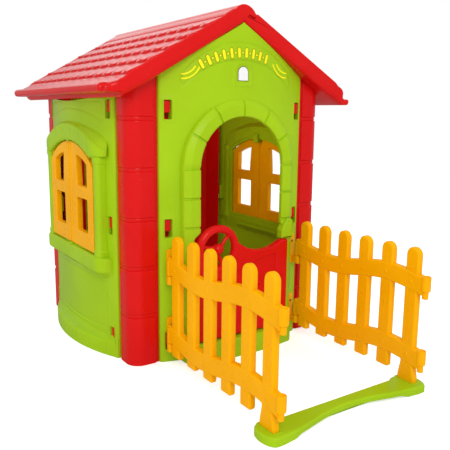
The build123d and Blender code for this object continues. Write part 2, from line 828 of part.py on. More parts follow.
with BuildPart() as right_fence:
    add(pickets.part)
    with BuildSketch(fence_plane):
        for middle in rail_middle:
            rail_outline(middle, knuckle_y, link_at)
    extrude(amount=rail_thick / 2, both=True)
    for low, middle in zip(bracket_low, rail_middle):
        # House end: a barrel with a peg that drops into the bracket's eye.
        barrel_low = low + link_height + 4
        with BuildSketch(Plane.XY.offset(barrel_low)):
            with Locations((fence_x, front_chord_y - knuckle_y)):
                Circle(link_outer)
        extrude(amount=wave(knuckle_y, middle) + 20 - barrel_low)
        with BuildSketch(Plane.XY.offset(barrel_low)):
            with Locations((fence_x, front_chord_y - knuckle_y)):
                Circle(pin_radius)
        extrude(amount=-pin_length)
        # Yard end: an eye for the next panel's peg, and a peg of its own below.
        eye_low = wave(link_at, middle) - 16
        with BuildSketch(Plane.XY.offset(eye_low)):
            with Locations((fence_x, front_chord_y - link_at)):
                Circle(link_outer)
        extrude(amount=rail_height / 2 + 20)
        with BuildSketch(Plane.XY.offset(eye_low + link_floor)):
            with Locations((fence_x, front_chord_y - link_at)):
                Circle(pin_radius + peg_fit)
        extrude(amount=rail_height, mode=Mode.SUBTRACT)
        with BuildSketch(Plane.XY.offset(eye_low)):
            with Locations((fence_x, front_chord_y - link_at)):
                Circle(pin_radius)
        extrude(amount=-pin_length)

with BuildPart() as left_fence:
    mirror(right_fence.part, about=Plane.YZ)


# ---------------------------------------------------- fence brackets, screws
def bracket(low):
    """Right-hand wall bracket with the eye that carries the fence."""
    plate = gable_bowed(lambda: rectangle(bracket_x - bracket_width / 2, bracket_x + bracket_width / 2,
                                          low, low + bracket_height), 0.05, bracket_thick)
    arm_back = 15
    with BuildPart() as piece:
        add(plate)
        with BuildSketch(Plane.XY.offset(low + 2)):
            with Locations((fence_x, -knuckle_y)):
                Circle(link_outer)
            with Locations((fence_x - 8, -(arm_back + knuckle_y) / 2)):
                Rectangle(18, knuckle_y - arm_back)
        extrude(amount=link_height)
        with BuildSketch(Plane.XY.offset(low)):
            with Locations((fence_x, -knuckle_y)):
                Circle(pin_radius + peg_fit)
        extrude(amount=link_height + 4, mode=Mode.SUBTRACT)
        with BuildSketch(Plane.XZ):
            with Locations((bracket_x, low + screw_above)):
                Circle(screw_radius + 0.1)
        extrude(amount=60, mode=Mode.SUBTRACT)
    with BuildPart() as placed:
        with Locations((0, front_chord_y, 0)):
            add(piece.part)
    return placed.part


with BuildPart() as right_bracket_lower:
    add(bracket(bracket_low[0]))

with BuildPart() as right_bracket_upper:
    add(bracket(bracket_low[1]))

with BuildPart() as left_bracket_lower:
    mirror(right_bracket_lower.part, about=Plane.YZ)

with BuildPart() as left_bracket_upper:
    mirror(right_bracket_upper.part, about=Plane.YZ)

screw_places = [(side * bracket_x, low + screw_above) for low in bracket_low for side in (-1, 1)]
screw_head_y = front_chord_y - 22.6

with BuildPart() as bracket_screws:
    with BuildSketch(Plane.XZ.offset(-screw_head_y)):
        with Locations(*screw_places):
            Circle(screw_radius)
    extrude(amount=-22)
    with BuildSketch(Plane.XZ.offset(-screw_head_y)):
        with Locations(*screw_places):
            Circle(6)
    extrude(amount=3)
    fillet(bracket_screws.faces().sort_by(Axis.Y)[0:4].edges(), 1.5)


# --------------------------------------------------------------- ground sill
def bar_outline():
    """Plan of the bar: wide ends, straight back edge and a hollowed front edge."""
    pad = 80                     # length of each wide end
    waist = 48                   # depth of the bar in the middle
    with BuildLine() as outline:
        Polyline((-bar_half + pad + 20, -bar_back), (bar_half - pad - 20, -bar_back),
                 (bar_half - pad + 2, -pad_back), (bar_half - 34, -pad_back))
        ThreePointArc((bar_half - 34, -pad_back), (bar_half, -(pad_back + bar_front) / 2),
                      (bar_half - 34, -bar_front))
        Line((bar_half - 34, -bar_front), (bar_half - pad, -bar_front))
        Spline((bar_half - pad, -bar_front), (0, -bar_back - waist), (-bar_half + pad, -bar_front),
               tangents=((-1, 0.35), (-1, 0), (-1, -0.35)))
        Line((-bar_half + pad, -bar_front), (-bar_half + 34, -bar_front))
        ThreePointArc((-bar_half + 34, -bar_front), (-bar_half, -(pad_back + bar_front) / 2),
                      (-bar_half + 34, -pad_back))
        Polyline((-bar_half + 34, -pad_back), (-bar_half + pad - 2, -pad_back),
                 (-bar_half + pad + 20, -bar_back))
    make_face(outline.edges())


with BuildPart() as bar_shell:
    with BuildSketch():
        bar_outline()
    extrude(amount=bar_height)
    fillet(bar_shell.faces().sort_by(Axis.Z)[-1].edges(), 7)
    # The middle stands clear of the ground between the two feet.
    with BuildSketch():
        with Locations((0, -(bar_back + bar_front) / 2)):
            Rectangle(2 * bar_half - 2 * 90, 200)
    extrude(amount=9, mode=Mode.SUBTRACT)
    # Sockets for the fences' feet.
    with BuildSketch(Plane.XY.offset(bar_height)):
        with Locations((-fence_x, -last_picket), (fence_x, -last_picket)):
            Rectangle(picket_thick + 2 * gap, foot_width + 2 * gap)
    extrude(amount=foot_low - gap - bar_height, mode=Mode.SUBTRACT)

with BuildPart() as ground_sill:
    with Locations((0, front_chord_y, 0)):
        add(bar_shell.part)


# ------------------------------------------------------------ sign furniture
plaque_blank = gable_bowed(lambda: arch(25, 1133, 25, 1100), -2.9, 0)

with BuildPart() as sign_plaque:
    with Locations((0, front_chord_y, 0)):
        add(plaque_blank)


def decals():
    """A row of plain bars and dots along the banner, with two curved stripes at each end."""
    bars = 10
    spacing = 5.4
    first = 72
    middle_radius = 360
    centre_z = 848
    with Locations((0, centre_z)):
        with PolarLocations(middle_radius, bars, start_angle=first,
                            angular_range=spacing * (bars - 1), endpoint=True):
            SlotOverall(38, 13)
        with PolarLocations(middle_radius, bars - 1, start_angle=first + spacing / 2,
                            angular_range=spacing * (bars - 2), endpoint=True):
            Circle(4.5)
    right_stripes = (((150, 1171), (174, 1139), (227, 1123)), ((171, 1172), (194, 1150), (230, 1141)))
    left_stripes = (((-259, 1103), (-217, 1115), (-192, 1145)), ((-259, 1119), (-228, 1128), (-208, 1148)))
    for start, bend, end in right_stripes + left_stripes:
        with BuildLine() as stripe:
            ThreePointArc(start, bend, end)
        trace(stripe.line, line_width=6)


decal_sheet = gable_bowed(decals, 4.05, 4.8)

with BuildPart() as sign_decals:
    with Locations((0, front_chord_y, 0)):
        add(decal_sheet)


# -------------------------------------------------------------------- export
pieces = {
    "front_wall": front_wall,
    "back_wall": back_wall,
    "left_wall": left_wall,
    "right_wall": right_wall,
    "column_front_left": column_front_left,
    "column_front_right": column_front_right,
    "column_back_left": column_back_left,
    "column_back_right": column_back_right,
    "roof_left": roof_left,
    "roof_right": roof_right,
    "door": door,
    "left_wall_front_leaf": left_wall_front_leaf,
    "left_wall_rear_leaf": left_wall_rear_leaf,
    "right_wall_front_leaf": right_wall_front_leaf,
    "right_wall_rear_leaf": right_wall_rear_leaf,
    "left_fence": left_fence,
    "right_fence": right_fence,
    "left_bracket_lower": left_bracket_lower,
    "left_bracket_upper": left_bracket_upper,
    "right_bracket_lower": right_bracket_lower,
    "right_bracket_upper": right_bracket_upper,
    "bracket_screws": bracket_screws,
    "ground_sill": ground_sill,
    "sign_plaque": sign_plaque,
    "sign_decals": sign_decals,
}
for name, piece in pieces.items():
    piece.part.label = name
    export_step(piece.part, f"parts/{name}.step")
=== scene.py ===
"""Looks of the plastic playhouse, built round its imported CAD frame."""
import math

import bmesh
import bpy
import numpy as np
from mathutils import Matrix, Vector
from mathutils.geometry import tessellate_polygon


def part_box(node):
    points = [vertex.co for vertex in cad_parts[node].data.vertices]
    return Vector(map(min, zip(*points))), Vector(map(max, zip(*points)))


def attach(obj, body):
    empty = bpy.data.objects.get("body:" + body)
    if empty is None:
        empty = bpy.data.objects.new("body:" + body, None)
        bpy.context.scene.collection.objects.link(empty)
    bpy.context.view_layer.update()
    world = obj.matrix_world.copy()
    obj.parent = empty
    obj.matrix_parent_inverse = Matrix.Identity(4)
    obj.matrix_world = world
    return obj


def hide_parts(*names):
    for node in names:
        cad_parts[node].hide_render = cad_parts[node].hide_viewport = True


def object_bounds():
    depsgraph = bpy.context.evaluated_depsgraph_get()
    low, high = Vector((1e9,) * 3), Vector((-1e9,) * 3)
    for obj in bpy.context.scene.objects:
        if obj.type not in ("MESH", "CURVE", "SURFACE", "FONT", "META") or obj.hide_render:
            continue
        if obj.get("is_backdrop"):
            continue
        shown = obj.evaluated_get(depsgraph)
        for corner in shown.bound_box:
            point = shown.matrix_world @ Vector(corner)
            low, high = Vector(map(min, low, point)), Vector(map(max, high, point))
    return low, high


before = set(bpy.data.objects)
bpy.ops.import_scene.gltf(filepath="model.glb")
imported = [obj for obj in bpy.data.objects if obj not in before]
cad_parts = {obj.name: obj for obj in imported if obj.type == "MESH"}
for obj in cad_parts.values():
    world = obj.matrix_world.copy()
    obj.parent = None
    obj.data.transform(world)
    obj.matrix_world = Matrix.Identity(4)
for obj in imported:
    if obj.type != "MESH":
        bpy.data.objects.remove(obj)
cad_low, cad_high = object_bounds()

MM = 0.001
HOUSE = "house"

# ------------------------------------------------------------------ anchors, mm
column_low, column_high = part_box("column_front_right")
wall_low, wall_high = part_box("left_wall")
LUG = 7                                    # how far a column's lugs stand outside the chords
FRONT_Y = column_low.y / MM + LUG          # chord of the front wall
SIDE_X = column_high.x / MM - LUG          # chord of the side walls
MIDDLE_Y = (wall_low.y + wall_high.y) / 2 / MM
BACK_Y = 2 * MIDDLE_Y - FRONT_Y
FRONT_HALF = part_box("front_wall")[1].x / MM
SIDE_HALF = (wall_high.y - wall_low.y) / 2 / MM
FRONT_BOW = 56
SIDE_BOW = 48
FOOT_BOW = 88
ROOF_FRONT = FRONT_Y - 64
ROOF_LENGTH = 1164


# -------------------------------------------------------------------- placing
def bow(u, half, sagitta):
    """How far a bowed wall stands outside its chord."""
    radius = (half**2 + sagitta**2) / (2 * sagitta)
    return np.sqrt(radius**2 - np.square(u)) - (radius - sagitta)


def front_bow(u):
    return bow(u, FRONT_HALF, FRONT_BOW)


def side_bow(u):
    return bow(u, SIDE_HALF, SIDE_BOW)


def place(wall, u, d, z):
    """A point u along a wall, d outside its chord and z up, in the row frame."""
    u, d, z = np.broadcast_arrays(np.asarray(u, float), np.asarray(d, float), np.asarray(z, float))
    if wall == "front":
        return np.stack([u, FRONT_Y - d, z], -1)
    if wall == "back":
        return np.stack([-u, BACK_Y + d, z], -1)
    if wall == "right":
        return np.stack([SIDE_X + d, MIDDLE_Y + u, z], -1)
    return np.stack([-SIDE_X - d, MIDDLE_Y - u, z], -1)


def on_wall(wall):
    """The mapping of (u, d, z) to a point for one wall."""
    return lambda u, d, z: place(wall, u, d, z)


def ahead_of_house(side=1):
    """The mapping of (x, height, distance ahead of the front chord), for what lies on the ground."""
    return lambda x, height, ahead: place("front", side * np.asarray(x, float), ahead, height)


# ------------------------------------------------------------------ materials
GRAIN = 0.012                              # strength of the plastic's fine bumps


def plastic(name, colour, rough=0.32, tone=0.06, specular=0.32):
    """Moulded plastic: slight tone drift, fine grain and uneven gloss."""
    material = bpy.data.materials.new(name)
    material.use_nodes = True
    nodes, links = material.node_tree.nodes, material.node_tree.links
    shader = nodes["Principled BSDF"]
    shader.inputs["Specular IOR Level"].default_value = specular
    coords = nodes.new("ShaderNodeTexCoord")

    def noise(scale, detail):
        texture = nodes.new("ShaderNodeTexNoise")
        texture.inputs["Scale"].default_value = scale
        texture.inputs["Detail"].default_value = detail
        links.new(coords.outputs["Object"], texture.inputs["Vector"])
        return texture.outputs["Fac"]

    ramp = nodes.new("ShaderNodeValToRGB")
    dark, light = ramp.color_ramp.elements[0], ramp.color_ramp.elements[1]
    dark.position = 0.35
    dark.color = (*(c * (1 - tone) for c in colour), 1)
    light.position = 0.65
    light.color = (*(min(1.0, c * (1 + tone * 0.6) + 0.002) for c in colour), 1)
    links.new(noise(3.5, 2.0), ramp.inputs["Fac"])
    links.new(ramp.outputs["Color"], shader.inputs["Base Color"])
    gloss = nodes.new("ShaderNodeMapRange")
    gloss.inputs["To Min"].default_value = rough - 0.05
    gloss.inputs["To Max"].default_value = rough + 0.06
    links.new(noise(14.0, 3.0), gloss.inputs["Value"])
    links.new(gloss.outputs["Result"], shader.inputs["Roughness"])
    bump = nodes.new("ShaderNodeBump")
    bump.inputs["Strength"].default_value = GRAIN
    bump.inputs["Distance"].default_value = 0.001
    links.new(noise(900.0, 2.0), bump.inputs["Height"])
    links.new(bump.outputs["Normal"], shader.inputs["Normal"])
    return material


GREEN = plastic("moulded_green", (0.37, 0.60, 0.006), specular=0.14)
RED = plastic("moulded_red", (0.70, 0.004, 0.004), rough=0.24, tone=0.03, specular=0.2)
YELLOW = plastic("moulded_yellow", (1.0, 0.45, 0.0), rough=0.27, specular=0.08)
WHITE = plastic("printed_white", (0.9, 0.9, 0.9), rough=0.4, tone=0.02)
PRINT_YELLOW = plastic("printed_yellow", (0.98, 0.90, 0.0), rough=0.45, tone=0.02)
PRINT_DARK = plastic("printed_outline", (0.11, 0.13, 0.01), rough=0.45, tone=0.1)
STEEL = plastic("plated_screw", (0.36, 0.16, 0.05), rough=0.35, tone=0.2)
STEEL.node_tree.nodes["Principled BSDF"].inputs["Metallic"].default_value = 0.6
SLOTS = {GREEN.name: "green_plastic", RED.name: "red_plastic", YELLOW.name: "yellow_plastic",
         WHITE.name: "white_label", PRINT_YELLOW.name: "yellow_label", PRINT_DARK.name: "yellow_label",
         STEEL.name: "screw_steel"}


# -------------------------------------------------------------- mesh building
class Build:
    """Collects vertices and faces, in millimetres, for one object. Its parts are
    (points, faces) pairs or other builds."""

    def __init__(self, *parts):
        self.points = []
        self.faces = []
        self.count = 0
        for part in parts:
            self.add(*part)

    def __iter__(self):
        yield np.concatenate(self.points)
        yield self.faces

    def add(self, points, faces):
        points = np.asarray(points, float).reshape(-1, 3)
        self.points.append(points)
        self.faces.extend(tuple(int(i) + self.count for i in face) for face in faces)
        self.count += len(points)


def object_from(name, build, material, body=HOUSE, stands_for=(), sharp=38):
    mesh = bpy.data.meshes.new(name)
    points = np.concatenate(build.points) * MM
    mesh.from_pydata(points.tolist(), [], build.faces)
    mesh.validate()
    skin = bmesh.new()
    skin.from_mesh(mesh)
    bmesh.ops.recalc_face_normals(skin, faces=skin.faces[:])
    skin.to_mesh(mesh)
    skin.free()
    mesh.materials.append(material)
    mesh.polygons.foreach_set("use_smooth", [True] * len(mesh.polygons))
    mesh.set_sharp_from_angle(angle=math.radians(sharp))
    mesh.update()
    piece = bpy.data.objects.new(name, mesh)
    bpy.context.scene.collection.objects.link(piece)
    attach(piece, body)
    SLOTS[material.name]
    if stands_for:
        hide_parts(*stands_for)
    weights = piece.modifiers.new("weighted_normals", "WEIGHTED_NORMAL")
    weights.keep_sharp = True
    return piece


def full_turn(count):
    """Angles of that many points spread evenly round a circle."""
    return np.linspace(0, 2 * math.pi, count + 1)[:-1]


def loft(rings, caps=True, closed=False):
    """The points and faces of a skin over rings of points. A ring runs
    counter-clockwise seen from the far end, so that faces look outwards."""
    rings = np.asarray(rings, float)
    n, m = rings.shape[:2]
    faces = []
    spans = n if closed else n - 1
    for i in range(spans):
        a, b = i * m, ((i + 1) % n) * m
        for j in range(m):
            k = (j + 1) % m
            faces.append((a + j, a + k, b + k, b + j))
    if caps and not closed:
        faces.append(tuple(range(m - 1, -1, -1)))
        faces.append(tuple((n - 1) * m + j for j in range(m)))
    return rings.reshape(-1, 3), faces


def shell(front, back, keep):
    """A closed sheet between two grids of points, without the cells not kept."""
    n, m = front.shape[:2]
    points = np.concatenate([front.reshape(-1, 3), back.reshape(-1, 3)])
    at = np.arange(n * m).reshape(n, m)
    off = n * m
    faces = []
    cells = np.argwhere(keep)
    for i, j in cells:
        a, b, c, d = at[i, j], at[i + 1, j], at[i + 1, j + 1], at[i, j + 1]
        faces.append((a, b, c, d))
        faces.append((off + d, off + c, off + b, off + a))
    padded = np.pad(keep, 1)
    for i, j in cells:
        a, b, c, d = at[i, j], at[i + 1, j], at[i + 1, j + 1], at[i, j + 1]
        if not padded[i + 1, j]:
            faces.append((b, a, off + a, off + b))
        if not padded[i + 2, j + 1]:
            faces.append((c, b, off + b, off + c))
        if not padded[i + 1, j + 2]:
            faces.append((d, c, off + c, off + d))
        if not padded[i, j + 1]:
            faces.append((a, d, off + d, off + a))
    used = np.zeros(len(points), bool)
    for face in faces:
        used[list(face)] = True
    renumber = np.cumsum(used) - 1
    return points[used], [tuple(renumber[list(face)]) for face in faces]


def outward(loop):
    """Mitred outward normals of a 2D loop that runs counter-clockwise."""
    loop = np.asarray(loop, float)
    ahead = np.roll(loop, -1, 0) - loop
    ahead /= np.linalg.norm(ahead, axis=1)[:, None] + 1e-12
    behind = np.roll(ahead, 1, 0)
    n1 = np.stack([ahead[:, 1], -ahead[:, 0]], 1)
    n0 = np.stack([behind[:, 1], -behind[:, 0]], 1)
    miter = n0 + n1
    miter /= np.linalg.norm(miter, axis=1)[:, None] + 1e-12
    cosine = np.clip((miter * n1).sum(1), 0.45, 1)[:, None]
    return miter / cosine


def area(loop):
    x, y = np.asarray(loop, float).T
    return 0.5 * np.sum(x * np.roll(y, -1) - np.roll(x, -1) * y)


def plate(wall_map, outline, holes, back, front, edge=4, back_edge=1.5, steps=4):
    """A plate with rounded rims. wall_map takes (u, d, z) to a point; back and
    front are d values and edge is the radius of the front rims."""
    build = Build()
    loops = [np.asarray(outline, float)] + [np.asarray(h, float) for h in holes]
    for i, loop in enumerate(loops):
        if (area(loop) > 0) != (i == 0):
            loops[i] = loop[::-1]
    rims_front, rims_back = [], []
    for loop in loops:
        normal = outward(loop)
        rings = []
        for k in range(steps + 1):
            angle = math.pi / 2 * k / steps
            ring = loop - normal * back_edge * (1 - math.sin(angle))
            rings.append(wall_map(ring[:, 0], back + back_edge * (1 - math.cos(angle)), ring[:, 1]))
        for k in range(steps + 1):
            angle = math.pi / 2 * k / steps
            ring = loop - normal * edge * (1 - math.cos(angle))
            rings.append(wall_map(ring[:, 0], front - edge * (1 - math.sin(angle)), ring[:, 1]))
        build.add(*loft(rings, caps=False))
        rims_back.append(loop - normal * back_edge)
        rims_front.append(loop - normal * edge)
    for rims, depth, flip in ((rims_front, front, False), (rims_back, back, True)):
        triangles = tessellate_polygon([[Vector((p[0], p[1], 0)) for p in rim] for rim in rims])
        flat = np.concatenate(rims)
        points = wall_map(flat[:, 0], np.full(len(flat), float(depth)), flat[:, 1])
        faces = []
        for a, b, c in triangles:
            pa, pb, pc = flat[a], flat[b], flat[c]
            turn = (pb[0] - pa[0]) * (pc[1] - pa[1]) - (pb[1] - pa[1]) * (pc[0] - pa[0])
            if abs(turn) < 1e-9:
                continue
            faces.append((a, b, c) if (turn > 0) != flip else (a, c, b))
        build.add(points, faces)
    return welded(build)


def welded(build, tolerance=1e-4):
    """Merges coincident points."""
    points = np.concatenate(build.points)
    keys = np.round(points / tolerance).astype(np.int64)
    _, first, inverse = np.unique(keys, axis=0, return_index=True, return_inverse=True)
    inverse = inverse.reshape(-1)
    faces = []
    for face in build.faces:
        renamed = [int(inverse[i]) for i in face]
        kept = [v for i, v in enumerate(renamed) if v != renamed[i - 1]]
        if len(set(kept)) == len(kept) and len(kept) > 2:
            faces.append(tuple(kept))
    build.points = [points[first]]
    build.faces = faces
    build.count = len(first)
    return build


# ----------------------------------------------------------------- 2D outlines
def arc(centre, radius, start, end, count):
    """Points on an arc, angles in degrees."""
    t = np.radians(np.linspace(start, end, count))
    return np.stack([centre[0] + radius * np.cos(t), centre[1] + radius * np.sin(t)], 1)


def three_point_arc(a, b, c, count):
    a, b, c = (np.asarray(p, float) for p in (a, b, c))
    d = 2 * (a[0] * (b[1] - c[1]) + b[0] * (c[1] - a[1]) + c[0] * (a[1] - b[1]))
    ux = ((a @ a) * (b[1] - c[1]) + (b @ b) * (c[1] - a[1]) + (c @ c) * (a[1] - b[1])) / d
    uy = ((a @ a) * (c[0] - b[0]) + (b @ b) * (a[0] - c[0]) + (c @ c) * (b[0] - a[0])) / d
    centre = np.array([ux, uy])
    radius = np.linalg.norm(a - centre)
    angles = [math.atan2(*(p - centre)[::-1]) for p in (a, b, c)]
    turn = lambda x, y: (y - x) % (2 * math.pi)
    sweep = turn(angles[0], angles[2])
    if turn(angles[0], angles[1]) > sweep:
        sweep -= 2 * math.pi
    t = angles[0] + np.linspace(0, sweep, count)
    return centre + radius * np.stack([np.cos(t), np.sin(t)], 1)


def rectangle(left, right, low, high):
    return [(left, low), (right, low), (right, high), (left, high)]


def rounded(corners, radius, steps=5):
    """A polygon with rounded corners; radius is one number or one per corner."""
    corners = [np.asarray(c, float) for c in corners]
    radii = radius if hasattr(radius, "__len__") else [radius] * len(corners)
    out = []
    for i, corner in enumerate(corners):
        r = radii[i]
        if r <= 0:
            out.append(corner)
            continue
        a = corners[i - 1] - corner
        b = corners[(i + 1) % len(corners)] - corner
        la, lb = np.linalg.norm(a), np.linalg.norm(b)
        a, b = a / la, b / lb
        half = math.acos(max(-1, min(1, float(a @ b)))) / 2
        cut = min(r / math.tan(half), 0.49 * la, 0.49 * lb)
        r_used = cut * math.tan(half)
        start, end = corner + a * cut, corner + b * cut
        middle = corner + (a + b) / np.linalg.norm(a + b) * (r_used / math.sin(half))
        s, e = start - middle, end - middle
        a0, a1 = math.atan2(s[1], s[0]), math.atan2(e[1], e[0])
        sweep = (a1 - a0 + math.pi) % (2 * math.pi) - math.pi
        for k in range(steps + 1):
            t = a0 + sweep * k / steps
            out.append(middle + r_used * np.array([math.cos(t), math.sin(t)]))
    return np.array(out)


def dense(loop, step):
    """The same closed loop with points at most step apart."""
    loop = np.asarray(loop, float)
    out = []
    for p, q in zip(loop, np.roll(loop, -1, 0)):
        parts = max(1, int(math.ceil(np.linalg.norm(q - p) / step)))
        out.extend(p + (q - p) * k / parts for k in range(parts))
    return np.array(out)


# ------------------------------------------------------- distances for relief
def smooth(low, high, value):
    """0 at low and 1 at high, with soft ends; low may be the greater one."""
    t = np.clip((value - low) / (high - low), 0, 1)
    return t * t * (3 - 2 * t)


def box_distance(u, z, u0, u1, z0, z1, radius):
    """Signed distance to a rounded rectangle, negative inside."""
    cu, cz = (u0 + u1) / 2, (z0 + z1) / 2
    qx = np.abs(u - cu) - (u1 - u0) / 2 + radius
    qz = np.abs(z - cz) - (z1 - z0) / 2 + radius
    return np.hypot(np.maximum(qx, 0), np.maximum(qz, 0)) + np.minimum(np.maximum(qx, qz), 0) - radius


def arch_distance(u, z, half, spring, bottom):
    """Signed distance to an opening with a round top."""
    body = np.maximum(np.abs(u) - half, bottom - z)
    top = np.hypot(u, z - spring) - half
    return np.where(z > spring, top, body)


def blunt_max(a, b, k):
    """A maximum whose corners are rounded by k."""
    h = np.clip(0.5 + 0.5 * (a - b) / k, 0, 1)
    return b + (a - b) * h + k * h * (1 - h)


def relief_grid(us, zs, snaps):
    """A grid of (u, z) whose points next to the zero line of a snap are moved
    onto it, so that moulded edges run cleanly."""
    u, z = np.meshgrid(us, zs, indexing="ij")
    cell_u = np.minimum(np.gradient(us)[:, None], 6.0) * np.ones_like(z)
    cell_z = np.minimum(np.gradient(zs)[None, :], 6.0) * np.ones_like(z)
    free = np.ones_like(u, bool)
    free[0, :] = free[-1, :] = False
    free[:, 0] = free[:, -1] = False
    for distance in snaps:
        here = distance(u, z)
        step = 0.05
        gu = (distance(u + step, z) - here) / step
        gz = (distance(u, z + step) - here) / step
        size = np.hypot(gu, gz) + 1e-9
        reach = 0.52 * (np.abs(gu) * cell_u + np.abs(gz) * cell_z) / size
        near = (np.abs(here) < reach * size) & free
        u = np.where(near, u - here * gu / size**2, u)
        z = np.where(near, z - here * gz / size**2, z)
        free &= ~near
    return u, z


def centres(values):
    """A grid's values at the middles of its cells."""
    return (values[:-1, :-1] + values[1:, :-1] + values[1:, 1:] + values[:-1, 1:]) / 4


# ------------------------------------------------------- walls and their slots
RIDGE_UNDER = 1321                         # the roof's underside at the ridge
SLOPE = math.tan(math.radians(30))
SPRING = 768                               # where the doorway's arch begins
SURROUND_HOLE = 250                        # half width of the opening behind the doorway's stones
WALL_DEPTH = 26
SLOT_HEIGHTS = (89, 540, 989)
SLOT_HALF = (15, 36)                       # a slot's half width and half height
SLOT_RIM = 13                              # width of the raised border round a slot
FRONT_SLOT = FRONT_HALF - 33
SIDE_SLOT = SIDE_HALF - 33


def gable_top(u):
    return RIDGE_UNDER - np.abs(u) * SLOPE - 1


def side_top(u):
    """A side wall's top edge, under the sloping roof."""
    return RIDGE_UNDER - (SIDE_X + side_bow(u)) * SLOPE - 2


def slot_distance(u, z, offset, height, grow=0.0):
    w, h = SLOT_HALF[0] + grow, SLOT_HALF[1] + grow
    return box_distance(np.abs(u), z, offset - w, offset + w, height - h, height + h, 5 + grow * 0.8)


def doorway_distance(u, z):
    return arch_distance(u, z, SURROUND_HOLE, SPRING, -50)


def banner_distance(u, z):
    outer = np.hypot(u, z - 914) - 332
    inner = 357 - np.hypot(u, z - 823)
    ends = np.abs(u) - 262
    return blunt_max(blunt_max(outer, inner, 12), ends, 26)


def plaque_distance(u, z):
    return arch_distance(u, z, 35, 1133, 1090)


def slot_linings(wall, offset, bowed):
    """The slots' sides, which run back through the thickness of the wall."""
    build = Build()
    chord = float(bowed(offset))

    def loop(middle, height, grow):
        w, h = SLOT_HALF[0] + grow, SLOT_HALF[1] + grow
        return rounded(rectangle(middle - w, middle + w, height - h, height + h), 5 + grow, steps=3)

    for middle in (-offset, offset):
        for height in SLOT_HEIGHTS:
            build.add(*plate(on_wall(wall), loop(middle, height, 4), [loop(middle, height, 0.4)],
                             chord - 27, chord - 1.2, edge=0.5, back_edge=0.5, steps=2))
    return build


def edge_rounding(distance, radius):
    """How far a surface falls back within a rounded edge of that radius."""
    t = np.clip(1 - distance / radius, 0, 1)
    return radius * (1 - np.sqrt(np.maximum(0, 1 - t**2)))


def groove(distance, depth, width):
    """A rounded groove along a line."""
    return depth * np.exp(-np.square(distance / width))


def wall_stations(half, slot, count):
    """Stations along a wall, closer together at its slots and upright edges."""
    edge = [half - e for e in (0, 0.7, 1.8, 3.5, 5.5, 8, 11)]
    around = [slot + e for e in (-30, -26, -20, -15, -12, -6, 0, 6, 12, 15)]
    right = np.unique(np.concatenate([np.linspace(0, slot - 35, count), edge, around]))
    return np.concatenate([-right[:0:-1], right])


def wall_sheet(wall, stations, levels, top, opening, snaps, relief, skin, hollow_top=None):
    """A wall's sheet. Its grid follows the snaps, its front carries the relief and its
    back leaves a rim as deep as the wall round a skin of its own thickness."""
    bowed, half, slot = (side_bow, SIDE_HALF, SIDE_SLOT) if wall in ("left", "right") else (
        front_bow, FRONT_HALF, FRONT_SLOT)
    slot_lines = [lambda u, z, height=height, grow=grow: slot_distance(u, z, slot, height, grow)
                  for height in SLOT_HEIGHTS for grow in (0, SLOT_RIM)]
    grid = wall_stations(half, slot, stations), np.unique(np.round(np.linspace(*levels), 4))
    u, z = relief_grid(*grid, [lambda u, z: z - top(u), *snaps, *slot_lines])
    d = bowed(u) + relief(u, z)
    for height in SLOT_HEIGHTS:
        d = d + 1.6 * smooth(1.5, -2.5, slot_distance(u, z, slot, height, SLOT_RIM))
    d = d - edge_rounding(half - np.abs(u), 8)
    inside = smooth(half - 8, half - 12, np.abs(u)) * smooth(8, 12, z)
    if hollow_top:
        inside = inside * smooth(hollow_top, hollow_top - 8, z)
    back = bowed(u) - WALL_DEPTH * (1 - inside) - skin * inside
    cu, cz = centres(u), centres(z)
    keep = (cz < top(cu)) & (opening(cu, cz) > 0)
    for height in SLOT_HEIGHTS:
        keep &= slot_distance(cu, cz, slot, height) > 0
    return shell(place(wall, u, d, z), place(wall, u, back, z), keep)


# ------------------------------------------------------------------- gables
GABLE_LEVELS = (0, 1320, 276)              # first and last height, and how many


def front_relief(u, z):
    banner = banner_distance(u, z)
    plaque = plaque_distance(u, z)
    return (3.0 * smooth(1.5, -3.5, banner) - groove(banner, 2.2, 2.6)
            + 2.2 * smooth(10.5, 6.5, plaque) - 4.2 * smooth(1.0, -2.0, plaque))


def front_gable_sheet():
    return wall_sheet("front", 57, GABLE_LEVELS, gable_top, doorway_distance,
                      [doorway_distance, banner_distance, plaque_distance,
                       lambda u, z: plaque_distance(u, z) - 7], front_relief, 4)


def back_panel(u, z):
    return arch_distance(u, z, 228, 760, 150)


def back_relief(u, z):
    """A plinth of five stones below a shallow arched outline."""
    relief = 12 * smooth(72, 58, z) * smooth(FRONT_HALF - 24, FRONT_HALF - 40, np.abs(u))
    relief = relief - groove(back_panel(u, z), 2.2, 3.2)
    for stone in range(-2, 3):
        relief = relief - groove(u - stone * 118 - 59, 2.0, 3.0) * smooth(70, 62, z)
    return relief


def back_gable_sheet():
    return wall_sheet("back", 57, GABLE_LEVELS, gable_top, lambda u, z: np.ones_like(u), [back_panel],
                      back_relief, 4)


# ---------------------------------------------------- doorway stones and step
STONE_OUT = 266                            # from the doorway's middle to the stones' outer sides
STONE_IN = 197                             # to their inner sides round the arch
DOOR_GAP = 226                             # and to their inner sides beside the half door
SIDE_JOINTS = (SPRING, SPRING - 113, SPRING - 226)
ARCH_JOINTS = (30, 60, 90, 120, 150)       # degrees


